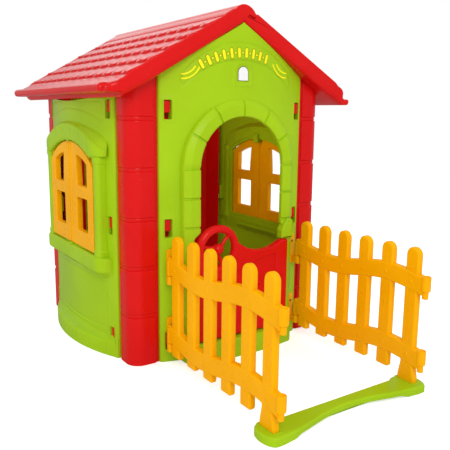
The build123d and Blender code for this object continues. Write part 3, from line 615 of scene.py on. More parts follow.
def doorway_path():
    """Stations round the doorway: (kind, position) going up the right side,
    over the arch and down the left; grooves are the stones' joints."""
    stations = []
    heights = np.unique(np.concatenate([
        np.linspace(80, SPRING, 40), [495, 503, 511, 519, 525],
        *[g + np.array([-8, -5.2, -4, -2.6, 0, 2.6, 4, 5.2, 8]) for g in SIDE_JOINTS]]))
    for z in heights:
        if z < SPRING + 1:
            stations.append(("side", 1, z))
    angles = [0.0]
    for joint in ARCH_JOINTS:
        angles += [joint + a for a in (-2.0, -1.3, -0.95, -0.6, 0, 0.6, 0.95, 1.3, 2.0)]
    angles = sorted(set(angles + list(np.linspace(0, 180, 61))))
    for angle in angles:
        if 0.9 < angle < 179.1:
            stations.append(("arch", 0, angle))
    for z in heights[::-1]:
        if z < SPRING + 1:
            stations.append(("side", -1, z))
    return stations


def doorway_joint(kind, position):
    """0 on a stone's face and 1 in the middle of a joint."""
    if kind == "side":
        gap = min(abs(position - g) for g in SIDE_JOINTS)
    else:
        gap = min(abs(position - g) for g in ARCH_JOINTS) * math.radians(1) * (STONE_IN + STONE_OUT + 1) / 2
    return float(smooth(5.2, 2.6, gap))


def doorway_stones():
    rings = []
    for kind, side, position in doorway_path():
        joint = 6.6 * doorway_joint(kind, position)
        inner = STONE_IN
        if kind == "side":
            inner += (DOOR_GAP - STONE_IN) * (1 - float(smooth(495, 525, position)))
            direction, foot = (side, 0.0), position
        else:
            a = math.radians(position)
            direction, foot = (math.cos(a), math.sin(a)), SPRING
        wall = float(front_bow(STONE_OUT * direction[0]))
        front = 70 - joint
        # Cross-section as (distance from the middle, depth): face, bevel, side, hollow back.
        section = [(inner + joint * 0.6, 52), (inner, 53.2), (inner, front - 6), (inner + 0.9, front - 3),
                   (inner + 3, front - 0.9), (inner + 6, front),
                   (236, front), (240, front - 0.1), (241.4, front - 0.9),
                   (257, front - 9.6), (261, front - 12), (264, front - 14.6), (265.6, front - 18.5),
                   (STONE_OUT, front - 22), (STONE_OUT, min(wall - 1.5, front - 23)),
                   (263, min(wall - 3.0, front - 24)), (246, min(wall - 3.0, front - 24)),
                   (246, 50), (238, 50.5), (230, 52)]
        if inner > 228:
            section[-1] = (inner + 2, 52)
        radii, depths = np.array(section).T
        rings.append(place("front", direction[0] * radii, depths, foot + direction[1] * radii))
    return loft(rings[::-1])


def door_step():
    """The step under the doorway, with rounded ends."""
    reach = 62.0                           # how far it stands outside the front wall
    end = float(front_bow(222)) + reach - 40
    front = [(u, float(front_bow(u)) + reach) for u in np.linspace(-262, 262, 45) if abs(u) < 226]
    foot = float(front_bow(262)) - 3
    outline = [(262, foot), *arc((222, end), 40, 0, 80, 9), *front[::-1], *arc((-222, end), 40, 100, 180, 9),
               (-262, foot)]
    outline += [(u, float(front_bow(u)) - 20) for u in np.linspace(-250, 250, 21)]
    return plate(ahead_of_house(), outline, [], 0, 80, edge=9, back_edge=1.0, steps=5)


def hinge_cheek():
    """The block over the half door's horn, with a sloping top."""
    outline = rounded([(192, 459), (252, 459), (252, 533), (226, 545), (205, 520), (192, 494)], 4)
    return plate(on_wall("front"), outline, [], 50, 84, edge=7, back_edge=1, steps=4)


def build_gables():
    for name, sheet in (("front", front_gable_sheet), ("back", back_gable_sheet)):
        object_from(f"Gable_{name}", Build(sheet()), GREEN, stands_for=[f"{name}_wall"])
        object_from(f"Gable_{name}_slot_linings", slot_linings(name, FRONT_SLOT, front_bow), GREEN)
        if name == "front":
            object_from("Doorway_stones", Build(doorway_stones()), GREEN)
            object_from("Door_step", door_step(), GREEN)
            object_from("Hinge_cheek", hinge_cheek(), GREEN)


# --------------------------------------------------------------- side walls
WINDOW_POCKET = 254                        # half width of the pocket the leaves sit in
PANEL_HALF = 290


def pocket_top(u):
    """Height of the pocket's arched head."""
    return 790 + bow(np.clip(u, -WINDOW_POCKET, WINDOW_POCKET), WINDOW_POCKET, 69)


def pocket_distance(u, z):
    return np.maximum(np.maximum(np.abs(u) - WINDOW_POCKET, 416 - z), z - pocket_top(u))


def panel_distance(u, z, bottom, top, corner):
    """Distance to a panel in a side wall, whose bottom and top are heights at u."""
    return blunt_max(blunt_max(np.abs(u) - PANEL_HALF, z - top, corner), bottom - z, 12)


def low_panel(u, z):
    curve = np.square(u / PANEL_HALF)
    return panel_distance(u, z, 104 + 10 * curve, 312 - 6 * curve, 12)


def high_panel(u, z):
    return panel_distance(u, z, 994 - 50 * np.square(u / PANEL_HALF), 1021, 16)


def side_relief(u, z):
    relief = 0
    for panel in (low_panel, high_panel):
        border = panel(u, z)
        relief = relief - 1.4 * smooth(2.0, -3.0, border) - groove(border, 2.3, 3.0)
    return relief


def side_sheet(wall):
    return wall_sheet(wall, 59, (0, 1054, 222), side_top, pocket_distance,
                      [pocket_distance, low_panel, high_panel], side_relief, 5, hollow_top=1030)


def joint_lines(half, joints, step, width=5.0):
    """Stations along u, with extra ones at each joint and at the rounded ends."""
    lines = list(np.linspace(-half, half, int(2 * half / step) + 1))
    for j in joints:
        lines += [j + width * part for part in (-1, -0.6, -0.3, 0, 0.3, 0.6, 1)]
    for e in (0.5, 1.5, 3, 5, 8, 12, 17, 23):
        lines += [-half + e, half - e]
    return np.unique(np.round([v for v in lines if abs(v) <= half], 3))


def joint_depth(u, joints, depth, width=5.0):
    """Depth of the joints' grooves at u."""
    gap = min(abs(u - j) for j in joints)
    return depth * float(smooth(width * 0.62, width * 0.2, gap))


def course(wall, stations, section_at):
    """A moulded course along a wall; section_at gives (z, d) pairs for a station."""
    return loft([place(wall, u, *np.array(section_at(u)).T[::-1]) for u in stations])


def end_round(u, half, length):
    """1 along a bar and falling to 0 at its bulbous end, as a quarter ellipse."""
    t = max(0.0, (abs(u) - half + length) / length)
    return math.sqrt(max(0.0, 1 - min(1.0, t)**2))


def window_brow(wall):
    joints = [-236, -142, -47, 47, 142, 236]
    half, foot_z = 328, 803.0

    def section_at(u):
        full = end_round(u, half, 78)
        k = 0.05 + 0.95 * full             # scales the small rounds down towards the ends
        beyond_pocket = float(smooth(225, 262, abs(u)))
        low = float(pocket_top(u)) * (1 - beyond_pocket) + foot_z * beyond_pocket + 9 * (1 - full)
        high = 840 + float(bow(u, half, 90)) - 6 * (1 - full)
        back = 20 - 12 * full
        foot = max(float(side_bow(u)), back)
        front = max(20.5 + 41.5 * full - 2.8 * k * joint_depth(u, joints, 1.0), foot + 0.5)
        reach = front - foot
        lift = max(0.0, reach / 40)
        round_edge = (5 + 15 * float(smooth(110, 260, abs(u)))) * min(1.0, reach / 22)
        section = [(low, back), (low, front - 12 * k), (low + 1.2, front - 6.5 * k),
                   (low + 4, front - 2.6 * k), (low + 9, front - 0.6 * k), (low + 16, front)]
        for a in np.radians([0, 20, 40, 60, 76]):
            section.append((high - round_edge * (1 - math.sin(a)), front - round_edge * (1 - math.cos(a))))
        section += [(high + 15 * lift, foot + reach * 0.3), (high + 23 * lift, foot + 1.2 * k),
                    (high + 26 * lift, foot - 3 * k), (high + 10 * lift, foot - 4 * k), (high - 20, back)]
        return [(z, min(d, front)) for z, d in section]

    return course(wall, joint_lines(half, joints, 9), section_at)


def window_sill(wall):
    joints = [-250, -150, -50, 50, 150, 250]
    half, middle = 333, 380

    def section_at(u):
        full = end_round(u, half, 58)
        k = 0.05 + 0.95 * full
        back = 10 - 14 * full
        wall_at = max(float(side_bow(u)), back)
        front = max(10.5 + 53.5 * full - 2.2 * k * joint_depth(u, joints, 1.0), wall_at + 0.5)
        reach = front - wall_at
        section = [(412, back if abs(u) > 250 else 10), (412, front - 12 * k), (410.8, front - 6 * k),
                   (408, front - 2.2 * k), (403, front - 0.3 * k), (396, front), (362, front),
                   (355, front - 0.8 * k), (350, front - 3.0 * k), (346.5, front - 6.5 * k),
                   (345, front - 11 * k if reach > 12 else front - 0.4 * reach),
                   (343, wall_at + reach * 0.62), (337, wall_at + reach * 0.4),
                   (329, wall_at + reach * 0.2), (319, wall_at + 0.8 * k), (314, wall_at - 3 * k),
                   (345, wall_at - 4 * k), (middle, min(wall_at - 4 * k, back + 12))]
        squeeze = 0.72 + 0.28 * full, 0.5 + 0.5 * full     # of the bar, and of the cove under it
        section = [(middle + (z - middle) * squeeze[0 if z > 344 else 1], min(d, front)) for z, d in section]
        return section[::-1]

    return course(wall, joint_lines(half, joints, 10), section_at)


def pilaster(wall, side):
    """A pilaster with rounded edges and rings at its head and foot."""
    half = 25
    levels = [(410, 3.5), (411, 3.5), (430, 3.5), (433, 3.2), (435, 2.2), (437, 0.6), (439, 0),
              (600, 0), (776, 0), (778, 0.6), (780, 2.2), (782, 3.2), (785, 3.5), (806, 3.5)]
    rings = []
    for z, grow in levels:
        h = half + grow
        outline = rounded(rectangle(-h, h, -27 - h, -27 + h), 17.5 + grow, steps=7)
        rings.append(place(wall, side * 280 + outline[:, 0], -outline[:, 1], z))
    return loft(np.array(rings)[:, ::-1])


def wall_foot(wall):
    """The course of stones at a side wall's foot."""
    joints = [-294, -196, -98, 0, 98, 196, 294]
    half = SIDE_HALF - 1

    def section_at(u):
        wall_at = float(side_bow(u))
        sunk = joint_depth(u, joints, 3.4, 6.0) + 0.6 * float(edge_rounding(np.array(half - abs(u)), 8))
        front = max(float(bow(u, SIDE_HALF, FOOT_BOW)) - sunk, wall_at + 0.4)
        reach = front - wall_at
        top = 58 + min(8.0, reach * 0.2)
        return [(0, wall_at - 3), (0, front - 2.5 if reach > 4 else front - 0.3), (0.8, front - 0.8),
                (2.6, front), (top - 12, front), (top - 7, front - min(0.9, reach * 0.1)),
                (top - 3.2, front - min(2.8, reach * 0.25)), (top - 0.8, front - min(6.2, reach * 0.45)),
                (top, front - min(10, reach * 0.6)), (top + 3, wall_at + reach * 0.3),
                (top + 9, wall_at + reach * 0.1), (top + 20, wall_at + 0.5), (top + 26, wall_at - 3)]

    return course(wall, joint_lines(half, joints, 9), section_at)


def arched_opening(half, foot, head, count=41):
    """A loop with upright sides and a curved head, which is a function of u."""
    return [(-half, foot), (half, foot)] + [(u, float(head(u))) for u in np.linspace(half, -half, count)]


def window_jamb(wall):
    """The frame behind the leaves' outer edges."""
    outline = arched_opening(262, 400, lambda u: 784 + bow(u, 262, 118))
    hole = arched_opening(WINDOW_POCKET, 417, pocket_top)
    return plate(on_wall(wall), outline, [hole], 6, 40, edge=2, back_edge=1, steps=3)


def window_frame(wall):
    """The plate behind the leaves, with the window opening in it."""
    outline = arched_opening(258, 411, lambda u: pocket_top(u) + 5)
    hole = arched_opening(236, 436, lambda u: 780 + bow(u, 236, 66))
    return plate(on_wall(wall), outline, [hole], 10, 24.5, edge=1.5, back_edge=3, steps=3)


def window_stop(wall):
    """The tab behind the meeting edges of the leaves."""
    return plate(on_wall(wall), rounded(rectangle(-20, 20, 828, 876), 4), [], -6, 22, edge=2, back_edge=4,
                 steps=3)


def window_catch(wall, z, up):
    """The small stop at the middle of the window's head or foot."""
    w = 13
    outline = rounded([(-w, z), (w, z), (w * 0.72, z + up * 9), (-w * 0.72, z + up * 9)], 3)
    return plate(on_wall(wall), outline, [], 40, 61, edge=3, back_edge=1, steps=3)


def build_side_wall(wall):
    title = wall.capitalize()
    object_from(f"Side_{title}", Build(side_sheet(wall)), GREEN, stands_for=[f"{wall}_wall"])
    object_from(f"Side_{title}_slot_linings", slot_linings(wall, SIDE_SLOT, side_bow), GREEN)
    for name, build in (("brow", Build(window_brow(wall))), ("sill", Build(window_sill(wall))),
                        ("foot", Build(wall_foot(wall))),
                        ("pilasters", Build(pilaster(wall, -1), pilaster(wall, 1))),
                        ("window_jamb", window_jamb(wall)), ("window_frame", window_frame(wall)),
                        ("window_stop", window_stop(wall)), ("window_catch_low", window_catch(wall, 411, 1)),
                        ("window_catch_high", window_catch(wall, 865, -1))):
        object_from(f"{title}_{name}", build, GREEN)


# ------------------------------------------------------------ corner columns
COLUMN_GROOVES = (200, 389, 578, 767, 956)
COLUMN_EDGE = 124.5


def column_plan(inset):
    """Plan of the front-left column from its outer corner; inset is the depth of
    a ring groove on the two main faces and the round between them."""
    step = COLUMN_EDGE - 12
    face = 4 + inset
    corner = 60                            # centre of the round between the faces
    # One face from the wall's end to the round; the other is its mirror image.
    side = [(COLUMN_EDGE, 38), (COLUMN_EDGE, 13), (COLUMN_EDGE - 1, 12), (step + 1, 12), (step - 2, 10.5),
            (step - 3.5, 7 + inset * 0.4), (step - 5, 4.8 + inset * 0.9), (step - 7.5, face)]
    side += [(x, face) for x in np.linspace(step - 14, corner + 4, 6)]
    return np.array([*side, *arc((corner, corner), 56 - inset, 270, 180, 19),
                     *(point[::-1] for point in side[::-1]), (38, 66), (40, 61), (61, 40), (66, 38)])


def column_build():
    # Heights with the depth of the groove there: a round foot, then the rings.
    levels = [(0.0, 2.0), (1.0, 0.6), (3.0, 0.0)]
    half_ring = [(13, 0), (10, 0.25), (8.6, 1.5), (7.7, 4.0), (6.6, 4.9), (4.5, 4.2), (2, 3.5)]
    for ring in COLUMN_GROOVES:
        levels += [(ring - off, inset) for off, inset in half_ring]
        levels += [(ring + off, inset) for off, inset in half_ring[::-1]]
    rings = [np.column_stack([plan, np.full(len(plan), z)])
             for plan, z in ((column_plan(inset), z) for z, inset in levels)]
    plan = column_plan(0)
    top = RIDGE_UNDER - (SIDE_X - plan[:, 0]) * SLOPE - 1.2
    for z in (975 + (top - 975) / 2, top):
        rings.append(np.column_stack([plan, z]))
    build = Build(loft([ring[::-1] for ring in rings[::-1]]))
    # Tongue plates behind the walls, and the lugs that hook through their slots.
    for swap in (False, True):
        plates = [box_points(114.5, 182.5, 29, 36, 20, 1030, 1.5)]
        for height in SLOT_HEIGHTS:
            lug_top = height + SLOT_HALF[1] - 3
            plates.append(box_points(158 - 12, 158 + 12, -6.5, 33, lug_top - 44, lug_top, 2.5))
        for points, faces in plates:
            if swap:
                points = points[:, [1, 0, 2]]
                faces = [face[::-1] for face in faces]
            build.add(points, faces)
    return build


def box_points(x0, x1, y0, y1, z0, z1, radius):
    """A block with all its long edges rounded."""
    outline = rounded(rectangle(x0, x1, y0, y1), radius, steps=3)
    rings = []
    normal = outward(outline)
    for z, back in ((z0, radius * 0.7), (z0 + radius * 0.3, radius * 0.25), (z0 + radius, 0),
                    (z1 - radius, 0), (z1 - radius * 0.3, radius * 0.25), (z1, radius * 0.7)):
        ring = outline - normal * back
        rings.append(np.column_stack([ring, np.full(len(ring), z)]))
    return loft(rings)


def build_columns():
    points, faces = column_build()
    for name, right, back in (("front_left", False, False), ("front_right", True, False),
                              ("back_left", False, True), ("back_right", True, True)):
        x = SIDE_X - points[:, 0] if right else -SIDE_X + points[:, 0]
        y = BACK_Y - points[:, 1] if back else FRONT_Y + points[:, 1]
        turned_over = right != back        # one mirroring turns every face inside out
        build = Build((np.column_stack([x, y, points[:, 2]]),
                       [face[::-1] for face in faces] if turned_over else faces))
        object_from(f"Column_{name}", build, RED, stands_for=[f"column_{name}"])


# --------------------------------------------------------------------- roof
ROOF_ANGLE = math.radians(29.7)
TILE_ROWS = 6
TILE_PITCH = 81.0                 # across, from one row's nose to the next
TILE_FIRST = 85.0                 # nose of the row nearest the ridge
TILE_LENGTH = 89.0                # along the ridge
TILE_FIELD = 84.0                 # from the front edge to a joint of the tiles
RIB = 61.0                        # where the plain rib above the tiles begins
BARGE = 13.0                      # smooth border at both gable ends


def roof_top(x):
    return 1387 - x * math.tan(ROOF_ANGLE)


def roof_under(x):
    return RIDGE_UNDER - x * SLOPE


def quarter_fall(distance):
    """1 up to a distance of 0, and falling to 0 at 1 as a quarter circle."""
    return np.sqrt(np.maximum(0.0, 1 - np.clip(distance, 0, 1)**2))


def tile_height(x, y):
    """Height of the moulded tiles above the roof plane, x across from the ridge
    and y along it from the front edge. The first course is a plain rib."""
    row = (x - TILE_FIRST) / TILE_PITCH
    index = np.ceil(row - 1e-6)
    s = row - (index - 1)                              # 0 just below a nose, 1 at the next
    shift = np.where(index % 2 == 0, 0.5, 0.0)
    along = (y - TILE_FIELD) / TILE_LENGTH + shift
    f = along - np.floor(along)
    side = np.abs(2 * f - 1)                           # 0 in a tile's middle, 1 at its joints
    t = s / (1.0 - 0.13 * side**2.2)
    rise = 1.0 + 8.4 * np.clip(t, 0, 1)
    body = np.where(t > 1, 0.0, rise * quarter_fall((t - 0.82) / 0.18))
    depth = smooth(0.46, 0.74, s)
    body = body * (1 - depth * (1 - quarter_fall((side - 0.72) / 0.28)))
    # A small button on every nose.
    button = np.exp(-np.square((f - 0.5) * TILE_LENGTH / 11) - np.square((s - 0.875) * TILE_PITCH / 5.5))
    tiles = body + 2.6 * button
    rib = 6.5 * quarter_fall((x - RIB) / (TILE_FIRST - RIB))
    height = np.where(x <= TILE_FIRST, rib, tiles)
    field = smooth(BARGE - 3, BARGE + 3, y) * smooth(ROOF_LENGTH - BARGE + 3, ROOF_LENGTH - BARGE - 3, y)
    foot = TILE_FIRST + (TILE_ROWS - 1) * TILE_PITCH
    border = 4.5 * smooth(BARGE - 4.5, BARGE - 6.5, np.minimum(y, ROOF_LENGTH - y))
    return np.where(x > foot + 1, 0.0, height * field) + border * smooth(foot + 14, foot - 8, x)


def roof_xs(start):
    """Stations across the tile field, closer together at the noses."""
    rib = (46, 50, 55, 60, 63, 66, 69, 72, 75, 77.5, 79.5, 81.2, 82.5, 83.5, 84.3, 85)
    out = [x for x in rib if x >= start]
    parts = np.array([0.008, 0.06, 0.14, 0.24, 0.34, 0.44, 0.52, 0.59, 0.65, 0.69, 0.73, 0.765, 0.80,
                      0.83, 0.86, 0.885, 0.905, 0.925, 0.942, 0.957, 0.97, 0.98, 0.988, 0.994, 1.0])
    for row in range(TILE_ROWS - 1):
        out += list(TILE_FIRST + TILE_PITCH * (row + parts))
    out += [490.7, 494, 500, 506, 511]
    return np.unique(np.round(out, 3))


def roof_ys():
    """Stations along the ridge, closer together at the tiles' joints and the ends."""
    ys = [0, 0.4, 1.2, 2.6, 4.4, 6.2, 7.4, 8.6, 10, 11.6, 13, 14.6, 16.2, 18.5, 21.5, 25, 29, 32, 35]
    ys += [ROOF_LENGTH - y for y in ys] + [38, 42, 46, 50, 54, 57, 60, 63, 66, 69, 72, 75, 79, 84, 90]
    half = TILE_LENGTH / 2
    start = TILE_FIELD - half
    while start < ROOF_LENGTH:
        for off in (-7.5, -4.6, -2.6, 0, 2.6, 4.6, 7.5, 14, 22, 30, 37):
            y = start + off
            if 37 < y < ROOF_LENGTH - 37:
                ys.append(y)
        start += half
    return np.unique(np.round(ys, 3))


def gutter_section():
    """The left half's eave, drawn on the right: the tile field's foot, a full round
    gutter and the lower band."""
    return [(516, roof_top(516)), (520, 1090.2), (530, 1084.6), (535, 1082.3), (538, 1080.2), (541, 1080.4),
            (546, 1081), (553, 1080.8), (560, 1079.6), (566, 1077), (571, 1072.6), (573.6, 1067), (574, 1061),
            (573, 1056), (571, 1052), (568, 1049), (563.5, 1047), (558, 1046.2), (540, 1046), (522, 1046.4),
            (516, 1045.8), (513.6, 1043), (513, 1038), (511.4, 1034), (508, 1030.6), (504, 1029.6)]


def lip_section():
    """The right half's eave: a rounded nose and a thin gutter lip."""
    return [(516, roof_top(516)), (521, roof_top(521) - 0.7), (526.5, 1084), (531, 1078), (533.5, 1071),
            (534, 1064), (533, 1057), (532.5, 1051), (534.5, 1046.5), (539, 1043.6), (546, 1042.8),
            (556, 1042.5), (563, 1042.2), (567.5, 1041.2), (570.8, 1038.6), (572.4, 1035), (572.6, 1031),
            (570.8, 1024.5), (568.5, 1021), (564.5, 1018.6), (559, 1017.8), (546, 1017.4), (532, 1017.2)]


def ridge_section(roll):
    """From the underside at the ridge over the top to the tile field, for the
    half with the ridge roll, or the plain one that tucks under it."""
    if roll:
        return [(0, 1321.4), (-8, 1330), (-16, 1342), (-20, 1349), (-26, 1348), (-36, 1344), (-44, 1341.4),
                (-48.5, 1341.4), (-51.5, 1345), (-52.4, 1350), (-51.5, 1356), (-47, 1363.4), (-40, 1371),
                (-31, 1378), (-20, 1383.6), (-8, 1387), (4, 1387.6), (15, 1385.4), (25, 1380.6), (32, 1375.4),
                (36, 1371.6), (39, 1369.4), (42, 1368.2)]
    return [(1.2, 1321.5), (10, 1334), (19, 1346.5), (26, 1345.5), (36, 1340.8), (46, 1336.4), (50, 1340),
            (54, 1347), (57, 1352.5)]


def roof_half(side, left):
    """One roof half as a closed loft along the ridge."""
    ridge = ridge_section(left)
    top = [(x, roof_top(x)) for x in roof_xs(46 if left else 60)]
    eave = gutter_section() if left else lip_section()
    under = [(x, roof_under(x)) for x in (490, 440, 380, 320, 260, 200, 140, 90, 50, 25)]
    section = np.array(ridge + top + eave + under)
    field = slice(len(ridge), len(ridge) + len(top))
    normal = unit_outward(section)
    # The lower part of the roof's end faces is a rounded bevel: how far each point rises at the ends.
    bevel = np.zeros(len(section))
    bevel[:2] = 22, 13 if left else 9
    bevel[-len(under):] = 22
    if left:
        bevel[-len(under) - 5:-len(under)] = 6, 12, 17, 20, 22
    bevel_reach = 18 + 24 * smooth(430, 500, section[:, 0])

    def round_corner(ring, distance, radius, start):
        """Rounds the eave's corner in plan, for the points beyond start."""
        fall = float(edge_rounding(np.array(float(distance)), radius))
        ring[:, 0] -= np.where(ring[:, 0] > start, np.minimum(fall, ring[:, 0] - start), 0)

    rings = []
    for y in roof_ys():
        ring = section.copy()
        # Tiles stand off the roof plane, which is sunk by as much as they rise.
        tiles = tile_height(ring[field, 0], y) - 1.0
        ring[field, 0] += tiles * math.sin(ROOF_ANGLE)
        ring[field, 1] += tiles * math.cos(ROOF_ANGLE)
        from_end = min(y, ROOF_LENGTH - y)
        ring[:, 1] += bevel * edge_rounding(from_end, bevel_reach) / bevel_reach
        ring -= normal * float(edge_rounding(np.array(float(from_end)), 6.0))
        if left:
            # The front corner is rounder, and a cup is pressed into the gutter beside it.
            if y < 60:
                round_corner(ring, y, 42.0, 530)
            else:
                round_corner(ring, from_end, 9.0, 555)
            inside = float(smooth(10, 24, y) * smooth(70, 58, y))
            upper = smooth(536, 546, ring[:, 0]) * smooth(1050, 1066, ring[:, 1])
            ring[:, 1] -= 15 * inside * upper
            ring[:, 0] += 3.0 * float(smooth(62, 70, y) * smooth(84, 72, y)) * smooth(560, 568, ring[:, 0])
            ring[:, 0] -= 7 * inside * smooth(560, 570, ring[:, 0])
        else:
            round_corner(ring, from_end, 14.0, 540)
        rings.append(np.column_stack([side * ring[:, 0], np.full(len(ring), ROOF_FRONT + y), ring[:, 1]]))
    return loft(rings)


def unit_outward(section):
    """Normals of a closed section, as unit vectors pointing out."""
    normal = outward(section)
    if area(section) < 0:
        normal = -normal
    return normal / np.maximum(np.linalg.norm(normal, axis=1)[:, None], 1e-9)


def build_roof():
    for side, name in ((-1, "left"), (1, "right")):
        build = Build(roof_half(side, side < 0))
        object_from(f"Roof_{name}", build, RED, stands_for=[f"roof_{name}"], sharp=46)


# ----------------------------------------------------------------- half door
DOOR_HALF = 221
DOOR_LOW = 84
DOOR_HIGH = 456
WHEEL = np.array([-124.0, 449.0])
WHEEL_DEPTH = 74                           # from the front chord to the middle of the wheel's ring


def door_outline():
    """The half door: a slab whose top sweeps up round the wheel at its left."""
    rim = 92                               # radius of the outline round the wheel
    start = math.radians(15)
    meeting = (WHEEL[0] + rim * math.cos(start), WHEEL[1] + rim * math.sin(start))
    shoulder = (DOOR_HALF - 34, DOOR_HIGH)
    base = rounded([(-DOOR_HALF + 1, DOOR_LOW), (DOOR_HALF, DOOR_LOW), (DOOR_HALF, DOOR_HIGH), shoulder],
                   [5, 5, 5, 0])
    waist = three_point_arc(shoulder, (67, 427), meeting, 25)[1:-1]
    hinge_end = [(WHEEL[0] - 95, 440), (-DOOR_HALF, 425)]
    return np.concatenate([base, waist, arc(WHEEL, rim, 15, 180, 33), hinge_end])


def circle(centre, radius, count=48):
    return arc(centre, radius, 0, 360, count + 1)[:-1]


def door_panel():
    """Recess in the door's outer face, whose upper edge follows the waist and the wheel."""
    waist = three_point_arc((158, 402), (70, 384), (-8, 352), 15)
    under_wheel = [p for p in arc(WHEEL, 122, 305, 235, 12) if p[0] > -188]
    return np.array([(-192, 116), (158, 116), *waist, *under_wheel, (-192, 345)])


def tube(line, normals, depth, radius, count):
    """A round bar along a line of (u, z) points on the front wall."""
    t = full_turn(count)
    return loft([place("front", p[0] + n[0] * radius * np.cos(t), depth + radius * np.sin(t),
                       p[1] + n[1] * radius * np.cos(t)) for p, n in zip(line, normals)])


def wheel_part():
    """The steering wheel's ring, hub and spokes."""
    build = Build()
    a = full_turn(20)
    rings = []
    for t in full_turn(72):
        reach = 82 + 16 * np.cos(a)
        rings.append(place("front", WHEEL[0] + math.cos(t) * reach, WHEEL_DEPTH + 16 * np.sin(a),
                           WHEEL[1] + math.sin(t) * reach))
    build.add(*loft(rings, caps=False, closed=True))
    t = full_turn(32)
    hub = []
    for a in math.pi * np.arange(1, 14) / 14:
        hub.append(place("front", WHEEL[0] + 23 * math.sin(a) * np.cos(t), WHEEL_DEPTH + 2 - 21 * math.cos(a),
                         WHEEL[1] + 23 * math.sin(a) * np.sin(t)))
    build.add(*loft(hub))
    # The spokes leave the hub straight and curl with the wheel.
    for angle in (25, 147, 265):
        line = []
        for radius, turn in ((8, 0), (20, 9), (34, 17), (48, 21.5), (62, 21), (76, 18)):
            a = math.radians(angle + turn)
            line.append(WHEEL + radius * np.array([math.cos(a), math.sin(a)]))
        build.add(*tube(line, left_normals(line), WHEEL_DEPTH, 7.5, 16))
    return build


def build_door():
    front = on_wall("front")
    panel = door_panel()
    holes = [panel, circle(WHEEL, 71)]
    slab = plate(front, dense(door_outline(), 12), holes, 60, 90, edge=7, back_edge=2, steps=5)
    field = plate(front, panel + outward(panel) * 9, [], 70, 84.5, edge=1, back_edge=1, steps=2)
    middle = (62, 300)
    boss = plate(front, circle(middle, 27, 40), [circle(middle, 21, 40)], 80, 87.2, edge=2.2, back_edge=0.5)
    t = full_turn(24)
    pins = Build(*(loft([place("front", 205 + 6 * np.cos(t), 74 - 6 * np.sin(t), z) for z in ends])
                   for ends in ((70, 90), (450, 470))))
    object_from("Door_frame", slab, RED, body="door", stands_for=["door"])
    for name, build in (("panel", field), ("wheel", wheel_part()), ("boss", boss), ("pins", pins)):
        object_from(f"Door_{name}", build, RED, body="door")


# ------------------------------------------------------------- window leaves
def leaf_outline():
    """The leaf at +u, from the window's middle to its hinge."""
    return np.array([(1.5, 418), (251, 418), *three_point_arc((251, 763), (133, 832.4), (1.5, 855), 15)])


def leaf_panes():
    """A leaf's two openings, the upper one with an arched head."""
    low = rounded(rectangle(74, 192, 486, 626), 5, steps=3)
    head = three_point_arc((192, 768), (133, 792), (76, 803), 9)
    foot = rounded([(74, 676), (192, 676), (192, 768)], [5, 5, 0], steps=3)
    return [low, np.concatenate([foot, head[1:], [(74, 803)]])]


def build_leaf(wall, side, end):
    """A leaf at that side of the window's middle and that end of the house."""
    flip = [side, 1]
    outline = leaf_outline() * flip
    build = plate(on_wall(wall), outline[::side], [pane * flip for pane in leaf_panes()], 26, 50.5,
                  edge=3.2, back_edge=2.0)
    # A raised strip along the meeting edge, and the leaf's two pegs.
    strip_in, strip_out = (3, 20) if side > 0 else (9, 26)
    strip = rounded([(strip_in, 422), (strip_out, 422), (strip_out, 848), (strip_in, 849.5)], 2.0) * flip
    build.add(*plate(on_wall(wall), strip, [], 46, 53.0, edge=2.4, back_edge=0.3))
    t = full_turn(16)
    for ends in ((406, 424), (757, 812)):
        build.add(*loft([place(wall, side * 238 + 4 * np.cos(t), 39 + 4 * np.sin(t), z) for z in ends]))
    object_from(f"{wall}_{end}_leaf".title(), build, YELLOW, body=f"{wall}_{end}_leaf",
                stands_for=[f"{wall}_wall_{end}_leaf"])


def build_leaves():
    # On the right wall u runs to the back, and on the left wall to the front.
    for wall, rear in (("right", 1), ("left", -1)):
        build_leaf(wall, rear, "rear")
        build_leaf(wall, -rear, "front")


# -------------------------------------------------------------------- fences
PICKETS = [99 + 114 * i for i in range(6)]
FENCE_X = 317
RAILS = (124, 394)                         # middles of the rails
BRACKET_LOWS = (56, 328)                   # feet of the brackets


def rail_wave(s, middle):
    return middle + 19 * np.sin(2 * math.pi * (s - 410) / 600)


def fence_map(side):
    """The mapping of (distance ahead of the front chord, distance outside the fence's middle, z)."""
    return lambda s, d, z: place("front", side * (FENCE_X + np.asarray(d, float)), s, z)


def picket_outline(middle, last):
    if last:
        foot = [(-28, 92), (-37, 46), (-37, 15), (37, 15), (37, 46), (28, 92)]
    else:
        foot = rounded([(-28, 90), (-28, 49), (28, 49), (28, 90)], [0, 7, 7, 0])
    return np.array([*foot, *arc((0, 496), 28, 0, 180, 17)]) + [middle, 0]


def double_plate(mapping, outline, edge, half, run=7.0):
    """A board with both faces bevelled broadly and softly, centred on d=0."""
    loop = outline if area(outline) > 0 else outline[::-1]
    normal = outward(loop)
    outer_half = [(0, half - edge - 3), (0.25, half - edge - 1.2), (run * 0.2, half - edge * 0.82),
                  (run * 0.72, half - 0.5), (run, half)]
    levels = [(inset, -depth) for inset, depth in outer_half[::-1]] + outer_half
    rings = []
    for inset, depth in levels:
        ring = loop - normal * inset
        rings.append(mapping(ring[:, 0], depth, ring[:, 1]))
    build = Build(loft(rings, caps=False))
    rim = loop - normal * run
    triangles = tessellate_polygon([[Vector((p[0], p[1], 0)) for p in rim]])
    for depth in (-half, half):
        build.add(mapping(rim[:, 0], depth, rim[:, 1]), [tuple(t) for t in triangles])
    return welded(build)


